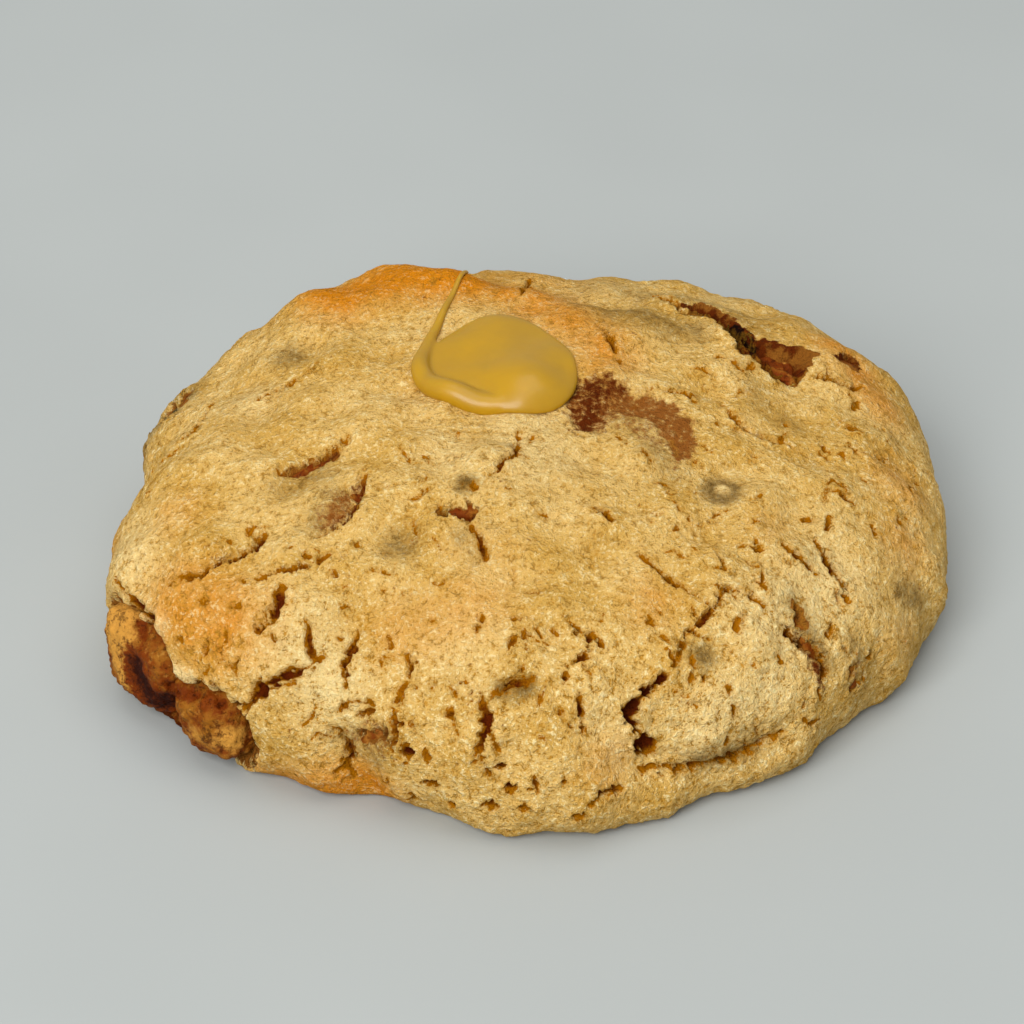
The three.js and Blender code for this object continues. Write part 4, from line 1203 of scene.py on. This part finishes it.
class Shader:
    """A material's or a group's nodes, with short ways to add and join them."""

    def __init__(self, tree: bpy.types.NodeTree) -> None:
        """Starts from an empty tree."""
        self.tree = tree
        tree.nodes.clear()

    def add(self, kind: str, **values: object) -> bpy.types.Node:
        """Adds a node and sets its properties and its unlinked inputs.

        Args:
            kind: The node's type.
            values: Properties by name, or inputs by name with spaces as underscores.

        Returns:
            The node.
        """
        node = self.tree.nodes.new(kind)
        for name, value in values.items():
            if hasattr(node, name):
                setattr(node, name, value)
            else:
                self.feed(node, name.replace("_", " "), value)
        return node

    def feed(self, node: bpy.types.Node, name: str | int, value: object) -> None:
        """Sets one input, or joins it where the value is a socket."""
        if isinstance(value, Socket):
            self.tree.links.new(value, node.inputs[name])
        else:
            node.inputs[name].default_value = value

    def maths(self, operation: str, a: object, b: object) -> Socket:
        """The result of a sum on two values or sockets."""
        node = self.add("ShaderNodeMath", operation=operation)
        self.feed(node, 0, a)
        self.feed(node, 1, b)
        return node.outputs[0]

    def plus(self, a: object, b: object) -> Socket:
        """Two values or sockets added."""
        return self.maths("ADD", a, b)

    def times(self, a: object, b: object) -> Socket:
        """Two values or sockets multiplied."""
        return self.maths("MULTIPLY", a, b)

    def mix(self, share: object, a: object, b: object) -> Socket:
        """Two colours mixed by a share, each a socket or a colour as seen."""
        node = self.add("ShaderNodeMix", data_type="RGBA")
        self.feed(node, 0, share)
        for slot, colour in ((6, a), (7, b)):
            self.feed(node, slot, colour if isinstance(colour, Socket) else seen(colour))
        return node.outputs[2]

    def band(self, value: object, low: float, high: float) -> Socket:
        """Eases a value from 0 at low to 1 at high."""
        node = self.add("ShaderNodeMapRange", interpolation_type="SMOOTHSTEP")
        for name, setting in (("Value", value), ("From Min", low), ("From Max", high)):
            self.feed(node, name, setting)
        return node.outputs["Result"]

    def noise(self, scale: float, detail: float = 2.0, roughness: float = 0.5) -> Socket:
        """Soft noise on object coordinates, with its scale in lumps per metre."""
        place = self.add("ShaderNodeTexCoord").outputs["Object"]
        node = self.add("ShaderNodeTexNoise", Scale=scale, Detail=detail, Roughness=roughness, Vector=place)
        return node.outputs[0]

    def mask(self, name: str) -> Socket:
        """A value that the mesh keeps for each vertex."""
        return self.add("ShaderNodeAttribute", attribute_name=name).outputs["Fac"]

    def group(self, tree: bpy.types.NodeTree, **values: object) -> bpy.types.Node:
        """Places a group and sets its inputs."""
        node = self.add("ShaderNodeGroup", node_tree=tree)
        for name, value in values.items():
            self.feed(node, name.replace("_", " "), value)
        return node

    def drift(self, scale: float, first: Colour, second: Colour) -> Socket:
        """A colour that drifts slowly from one to another, with its scale in lumps per metre."""
        ends = {"First": seen(first), "Second": seen(second)}
        return self.group(ToneDrift().tree(), Scale=scale, **ends).outputs[0]


def seen(colour: Colour) -> tuple[float, float, float, float]:
    """A colour given as seen on a screen, from 0 to 255, as linear light that fully covers."""
    return *(c / 255 / 12.92 if c <= 10 else ((c / 255 + 0.055) / 1.055) ** 2.4 for c in colour), 1


@dataclass(frozen=True)
class Group:
    """A node group, with the names and kinds of its inputs and outputs."""

    name: str
    inputs: tuple[tuple[str, str], ...]
    outputs: tuple[tuple[str, str], ...]

    def tree(self) -> bpy.types.NodeTree:
        """The group, made once."""
        if self.name not in bpy.data.node_groups:
            tree = bpy.data.node_groups.new(self.name, "ShaderNodeTree")
            for way, sockets in (("INPUT", self.inputs), ("OUTPUT", self.outputs)):
                for name, kind in sockets:
                    tree.interface.new_socket(name, in_out=way, socket_type=f"NodeSocket{kind}")
            shader = Shader(tree)
            self.fill(shader, shader.add("NodeGroupInput"), shader.add("NodeGroupOutput"))
        return bpy.data.node_groups[self.name]


@dataclass(frozen=True)
class CrumbGrain(Group):
    """The sugary grain that dough has, and that dusts the chocolate: height, light specks and dark pores."""

    name: str = "crumb_grain"
    inputs: tuple[tuple[str, str], ...] = (("Scale", "Float"),)
    outputs: tuple[tuple[str, str], ...] = (("Height", "Float"), ("Specks", "Float"), ("Pores", "Float"))

    def fill(self, shader: Shader, given: bpy.types.Node, out: bpy.types.Node) -> None:
        """Adds the grain's nodes."""
        place = shader.add("ShaderNodeTexCoord").outputs["Object"]
        grown = shader.add("ShaderNodeVectorMath", operation="SCALE")
        shader.feed(grown, 0, place)
        shader.feed(grown, "Scale", given.outputs["Scale"])
        vector = grown.outputs[0]
        wander = shader.add("ShaderNodeTexNoise", Scale=1500.0, Detail=3.0, Roughness=0.6, Vector=vector)
        shifted = shader.add("ShaderNodeVectorMath", operation="MULTIPLY_ADD")
        for name, value in ((0, wander.outputs["Color"]), (1, (0.0011,) * 3), (2, vector)):
            shader.feed(shifted, name, value)
        bent = shifted.outputs[0]
        cells = shader.add("ShaderNodeTexVoronoi", Scale=1500.0, Vector=bent)
        seams = shader.add("ShaderNodeTexVoronoi", feature="DISTANCE_TO_EDGE", Scale=1100.0, Vector=bent)
        small = shader.add("ShaderNodeTexNoise", Scale=3000.0, Detail=3.0, Roughness=0.75, Vector=vector)
        broad = shader.add("ShaderNodeTexNoise", Scale=1000.0, Detail=4.0, Roughness=0.65, Vector=vector)
        seam = shader.band(seams.outputs["Distance"], 0.07, 0.0)
        torn = shader.times(seam, shader.band(broad.outputs[0], 0.48, 0.36))
        rounded = shader.maths("SUBTRACT", 1.0, cells.outputs["Distance"])
        height = shader.plus(shader.times(rounded, 0.5), small.outputs[0])
        height = shader.plus(height, broad.outputs[0])
        height = shader.maths("SUBTRACT", height, shader.times(torn, 0.3))
        coarser = shader.times(broad.outputs[0], 0.4)
        both = shader.plus(shader.times(small.outputs[0], 0.6), coarser)
        shader.feed(out, "Height", shader.times(height, 0.4))
        shader.feed(out, "Specks", shader.band(both, 0.53, 0.6))
        shader.feed(out, "Pores", shader.maths("MAXIMUM", shader.band(both, 0.47, 0.4), torn))


@dataclass(frozen=True)
class ToneDrift(Group):
    """Slow drift of one colour into another over a surface."""

    name: str = "tone_drift"
    inputs: tuple[tuple[str, str], ...] = (("Scale", "Float"), ("First", "Color"), ("Second", "Color"))
    outputs: tuple[tuple[str, str], ...] = (("Color", "Color"),)

    def fill(self, shader: Shader, given: bpy.types.Node, out: bpy.types.Node) -> None:
        """Adds the drift's nodes."""
        place = shader.add("ShaderNodeTexCoord").outputs["Object"]
        drift = shader.add("ShaderNodeTexNoise", Detail=3.0, Roughness=0.6, Vector=place)
        shader.feed(drift, "Scale", given.outputs["Scale"])
        share = shader.band(drift.outputs[0], 0.36, 0.64)
        shader.feed(out, "Color", shader.mix(share, given.outputs["First"], given.outputs["Second"]))


@dataclass(frozen=True)
class Finish:
    """What every finish shares: its name, its gloss and how light sinks into it."""

    name: str
    roughness: float
    sinks: float
    sink_depth: float = 0.001
    shine: float = 0.5

    def start(self) -> tuple[bpy.types.Material, Shader, bpy.types.Node]:
        """A new material with its shader on the output.

        Returns:
            The material, its nodes and its Principled BSDF.
        """
        material = bpy.data.materials.new(self.name)
        material.use_nodes = True
        shader = Shader(material.node_tree)
        surface = shader.add("ShaderNodeBsdfPrincipled", Roughness=self.roughness)
        surface.inputs["Subsurface Weight"].default_value = self.sinks
        surface.inputs["Subsurface Radius"].default_value = (1.0, 0.55, 0.25)
        surface.inputs["Subsurface Scale"].default_value = self.sink_depth
        surface.inputs["Specular IOR Level"].default_value = self.shine
        out = shader.add("ShaderNodeOutputMaterial")
        shader.feed(out, "Surface", surface.outputs[0])
        return material, shader, surface

    @staticmethod
    def bump(
        shader: Shader, surface: bpy.types.Node, height: Socket, distance: float, strength: float
    ) -> None:
        """Roughens a surface by a height, with its depth in millimetres."""
        node = shader.add("ShaderNodeBump", Height=height)
        node.inputs["Distance"].default_value = distance * MM
        node.inputs["Strength"].default_value = strength
        shader.feed(surface, "Normal", node.outputs[0])


@dataclass(frozen=True)
class BakedDough(Finish):
    """Golden crumb that browns on its crests and turns deeper in its cracks, with painted shade that darkens
    them with depth.
    """

    name: str = "baked_dough"
    roughness: float = 0.85
    sinks: float = 0.05
    shine: float = 0.06
    golden: Colour = (230, 187, 108)
    straw: Colour = (214, 166, 80)
    cream: Colour = (252, 226, 162)
    toasted: Colour = (218, 132, 12)
    pore: Colour = (190, 132, 34)
    shallow: Colour = (172, 106, 2)
    shaded_bottom: Colour = (96, 34, 0)
    cocoa: Colour = (116, 87, 40)
    film: Colour = (146, 86, 30)
    molten: Colour = (142, 86, 26)
    # dark chocolate tone, also used as painted shade in lips and pits
    dark_and_shade: Colour = (94, 36, 1)
    # near-black painted shade for the deepest pits
    pit: Colour = (26, 8, 3)

    def material(self) -> bpy.types.Material:
        """The dough's material."""
        material, shader, surface = self.start()
        crumb = shader.group(CrumbGrain().tree(), Scale=1.0)
        patchy = shader.noise(420.0, 3.0, 0.6)
        ragged = shader.noise(1400.0, 4.0, 0.7)
        colour = self.baked(shader, crumb, patchy, ragged)
        wander = shader.maths("SUBTRACT", ragged, 0.5)
        stain = shader.plus(shader.times(wander, 1.2), shader.plus(patchy, 0.5))
        stain = shader.times(shader.mask("cocoa"), stain)
        colour = shader.mix(shader.band(stain, 0.1, 0.95), colour, self.cocoa)
        shader.feed(surface, "Base Color", self.opened(shader, wander, colour))
        self.bump(shader, surface, crumb.outputs["Height"], 1.3, 1.0)
        return material

    def baked(self, shader: Shader, crumb: bpy.types.Node, patchy: Socket, ragged: Socket) -> Socket:
        """The crust's own colour, pale or browned in places, with its specks and pores."""
        colour = shader.drift(150.0, self.golden, self.straw)
        pale = shader.times(shader.mask("pale"), shader.plus(patchy, 0.35))
        colour = shader.mix(pale, colour, self.cream)
        toast = shader.plus(patchy, shader.times(ragged, 0.6))
        toast = shader.times(shader.mask("browned"), shader.plus(toast, 0.25))
        colour = shader.mix(shader.band(toast, 0.1, 1.0), colour, self.toasted)
        strength = shader.plus(shader.times(shader.mask("coarse"), 0.5), 0.45)
        calm = shader.maths("SUBTRACT", 1.0, shader.times(shader.mask("browned"), 0.6))
        calm = shader.times(strength, calm)
        specks = shader.times(crumb.outputs["Specks"], calm)
        colour = shader.mix(specks, colour, self.cream)
        return shader.mix(shader.times(crumb.outputs["Pores"], strength), colour, self.pore)

    def opened(self, shader: Shader, wander: Socket, colour: Socket) -> Socket:
        """The colour where chocolate has melted over the crust, and the colour of the cracks, with painted
        shade that darkens both in their deepest parts.
        """
        # Dark chocolate tone with painted shade in lips and pits; near-black painted shade where it is
        # strongest
        dark_and_shade = shader.plus(shader.mask("dark_and_shade"), shader.times(wander, 1.6))
        darkened = shader.band(dark_and_shade, 0.2, 0.7)
        film = shader.plus(shader.mask("film"), shader.times(wander, 2.4))
        smear = shader.mix(darkened, self.film, self.dark_and_shade)
        colour = shader.mix(shader.band(film, 0.2, 1.0), colour, smear)
        melted = shader.mix(darkened, self.molten, self.dark_and_shade)
        melted = shader.mix(shader.band(dark_and_shade, 0.95, 1.25), melted, self.pit)
        cover = shader.plus(shader.mask("molten"), shader.times(wander, 1.6))
        colour = shader.mix(shader.band(cover, 0.2, 0.5), colour, melted)
        rim = shader.plus(shader.mask("rim"), shader.times(wander, 1.1))
        edge = shader.times(shader.band(rim, 0.5, 0.0), 0.3)
        colour = shader.mix(edge, colour, self.pore)
        # Crack floors: a deeper orange, then painted shade, darker with depth and near-black in the deepest
        # pits
        depth = shader.plus(shader.mask("deep"), wander)
        floor = shader.mix(shader.band(depth, 0.3, 1.0), self.shallow, self.shaded_bottom)
        floor = shader.mix(shader.band(depth, 1.4, 2.4), floor, self.pit)
        floor = shader.mix(shader.mask("film"), floor, smear)
        floor = shader.mix(shader.mask("molten"), floor, melted)
        return shader.mix(shader.band(rim, 0.05, -0.08), colour, floor)


@dataclass(frozen=True)
class MeltedChocolate(Finish):
    """Dark and milk chocolate that has melted and set again, with a bloom and some crumb dust."""

    name: str = "melted_chocolate"
    roughness: float = 0.6
    sinks: float = 0.03
    shine: float = 0.08
    dark: Colour = (46, 11, 0)
    warm: Colour = (112, 46, 2)
    red: Colour = (118, 52, 2)
    brown: Colour = (146, 90, 22)
    milk: Colour = (196, 138, 56)
    dust: Colour = (190, 136, 62)

    def material(self) -> bpy.types.Material:
        """The chocolate's material."""
        material, shader, surface = self.start()
        crumb = shader.group(CrumbGrain().tree(), Scale=0.8)
        colour = shader.drift(520.0, self.red, self.brown)
        ragged = shader.maths("SUBTRACT", shader.noise(800.0, 4.0, 0.7), 0.5)
        milky = shader.plus(shader.mask("milky"), shader.times(ragged, 0.9))
        colour = shader.mix(shader.band(milky, 0.25, 0.7), colour, self.milk)
        dust = shader.band(shader.noise(1100.0, 4.0, 0.7), 0.55, 0.68)
        colour = shader.mix(shader.times(dust, 0.45), colour, self.dust)
        torn = shader.maths("SUBTRACT", shader.noise(1500.0, 4.0, 0.75), 0.5)
        # Darker towards warm and dark tones in the hollows: dark chocolate, with painted shade
        hollow = shader.plus(shader.mask("hollow"), shader.times(torn, 1.3))
        colour = shader.mix(shader.band(hollow, 0.15, 0.5), colour, self.warm)
        colour = shader.mix(shader.band(hollow, 0.55, 1.05), colour, self.dark)
        pores = shader.times(crumb.outputs["Pores"], 0.6)
        colour = shader.mix(pores, colour, self.dark)
        shader.feed(surface, "Base Color", colour)
        rough = shader.plus(shader.times(dust, 0.35), self.roughness)
        shader.feed(surface, "Roughness", rough)
        self.bump(shader, surface, crumb.outputs["Height"], 0.6, 0.9)
        return material


@dataclass(frozen=True)
class SetCaramel(Finish):
    """Glossy mustard-yellow caramel, drifting at random between amber and a duller tone."""

    name: str = "set_caramel"
    roughness: float = 0.36
    sinks: float = 0.15
    shine: float = 0.35
    amber: Colour = (176, 132, 14)
    dull: Colour = (170, 128, 22)

    def material(self) -> bpy.types.Material:
        """The caramel's material."""
        material, shader, surface = self.start()
        shader.feed(surface, "Base Color", shader.drift(260.0, self.amber, self.dull))
        rough = shader.times(shader.noise(900.0), 0.12)
        rough = shader.plus(rough, self.roughness - 0.06)
        shader.feed(surface, "Roughness", rough)
        surface.inputs["Coat Weight"].default_value = 0.1
        surface.inputs["Coat Roughness"].default_value = 0.15
        self.bump(shader, surface, shader.noise(700.0), 0.12, 0.3)
        return material


@dataclass
class Studio:
    """The plain pale floor, soft light and the camera of the picture."""

    aim: tuple[float, float, float] = (-1.2, 0.0, 8.5)
    distance: float = 420.0
    elevation: float = 38.0
    pixels_per_mm: float = 10.5
    picture: int = 1024
    sensor: float = 36.0
    floor_colour: Colour = (166, 169, 166)
    lamps: tuple[tuple[str, tuple[float, float, float], float, float], ...] = (
        ("softbox", (-0.34, -0.69, 0.7), 0.65, 10.6),
        ("overhead", (0.1, 0.05, 0.95), 0.9, 4.2),
    )
    sky: Colour = (0.89, 0.94, 0.97)
    sky_strength: float = 0.44

    def build(self, dome: Dome) -> None:
        """Makes the floor, the lights, the surroundings and the camera."""
        self.floor()
        self.lights()
        self.camera(dome)

    def floor(self) -> None:
        """A wide plain floor that the cookie lies on."""
        Modeller.clear_selection()
        bpy.ops.mesh.primitive_plane_add(size=3.0)
        floor = Modeller.named("floor")
        material, shader, surface = Finish("pale_board", roughness=0.9, sinks=0.0).start()
        tones = (tuple(c * shade for c in self.floor_colour) for shade in (1.01, 0.985))
        shader.feed(surface, "Base Color", shader.drift(9.0, *tones))
        floor.data.materials.append(material)

    def lights(self) -> None:
        """Large soft lights from above and from the left front, and pale surroundings."""
        for name, place, size, power in self.lamps:
            light = bpy.data.lights.new(name, "AREA")
            light.size = size
            light.energy = power
            lamp = bpy.data.objects.new(name, light)
            lamp.location = place
            lamp.rotation_euler = (Vector((0, 0, 0.01)) - Vector(place)).to_track_quat("-Z", "Y").to_euler()
            bpy.context.collection.objects.link(lamp)
        world = bpy.data.worlds.new("surroundings")
        world.use_nodes = True
        background = world.node_tree.nodes["Background"]
        background.inputs["Color"].default_value = (*self.sky, 1)
        background.inputs["Strength"].default_value = self.sky_strength
        bpy.context.scene.world = world
        bpy.context.scene.view_settings.view_transform = "Standard"

    def camera(self, dome: Dome) -> None:
        """The camera at the picture's angle and distance."""
        tilt = math.radians(self.elevation)
        aim = dome.seated(np.array([self.aim]))[0]
        away = np.array([0, -math.cos(tilt), math.sin(tilt)]) * self.distance * MM
        lens = bpy.data.cameras.new("camera")
        lens.sensor_width = self.sensor
        lens.lens = self.pixels_per_mm * self.distance / self.picture * self.sensor
        lens.clip_start = 0.01
        camera = bpy.data.objects.new("camera", lens)
        camera.location = aim + away
        camera.rotation_euler = (math.pi / 2 - tilt, 0, 0)
        bpy.context.collection.objects.link(camera)
        bpy.context.scene.camera = camera


def main() -> None:
    """Builds and dresses the cookie, piece by piece."""
    dome = Dome()
    Studio().build(dome)
    Modeller.finish(DoughCrust(dome).build(), ("dough",), "dough", BakedDough().material())
    chocolate = MeltedChocolate().material()
    for number, morsel in enumerate(MORSELS):
        slot = "milk_chocolate" if morsel.node == "chunk_corner_high" else "chocolate"
        Modeller.finish(ChocolatePiece(dome, morsel).build(number), (morsel.node,), slot, chocolate)
    Modeller.finish(CaramelDrop(dome).build(), ("caramel_drop",), "caramel", SetCaramel().material())


if __name__ == "__main__":
    main()
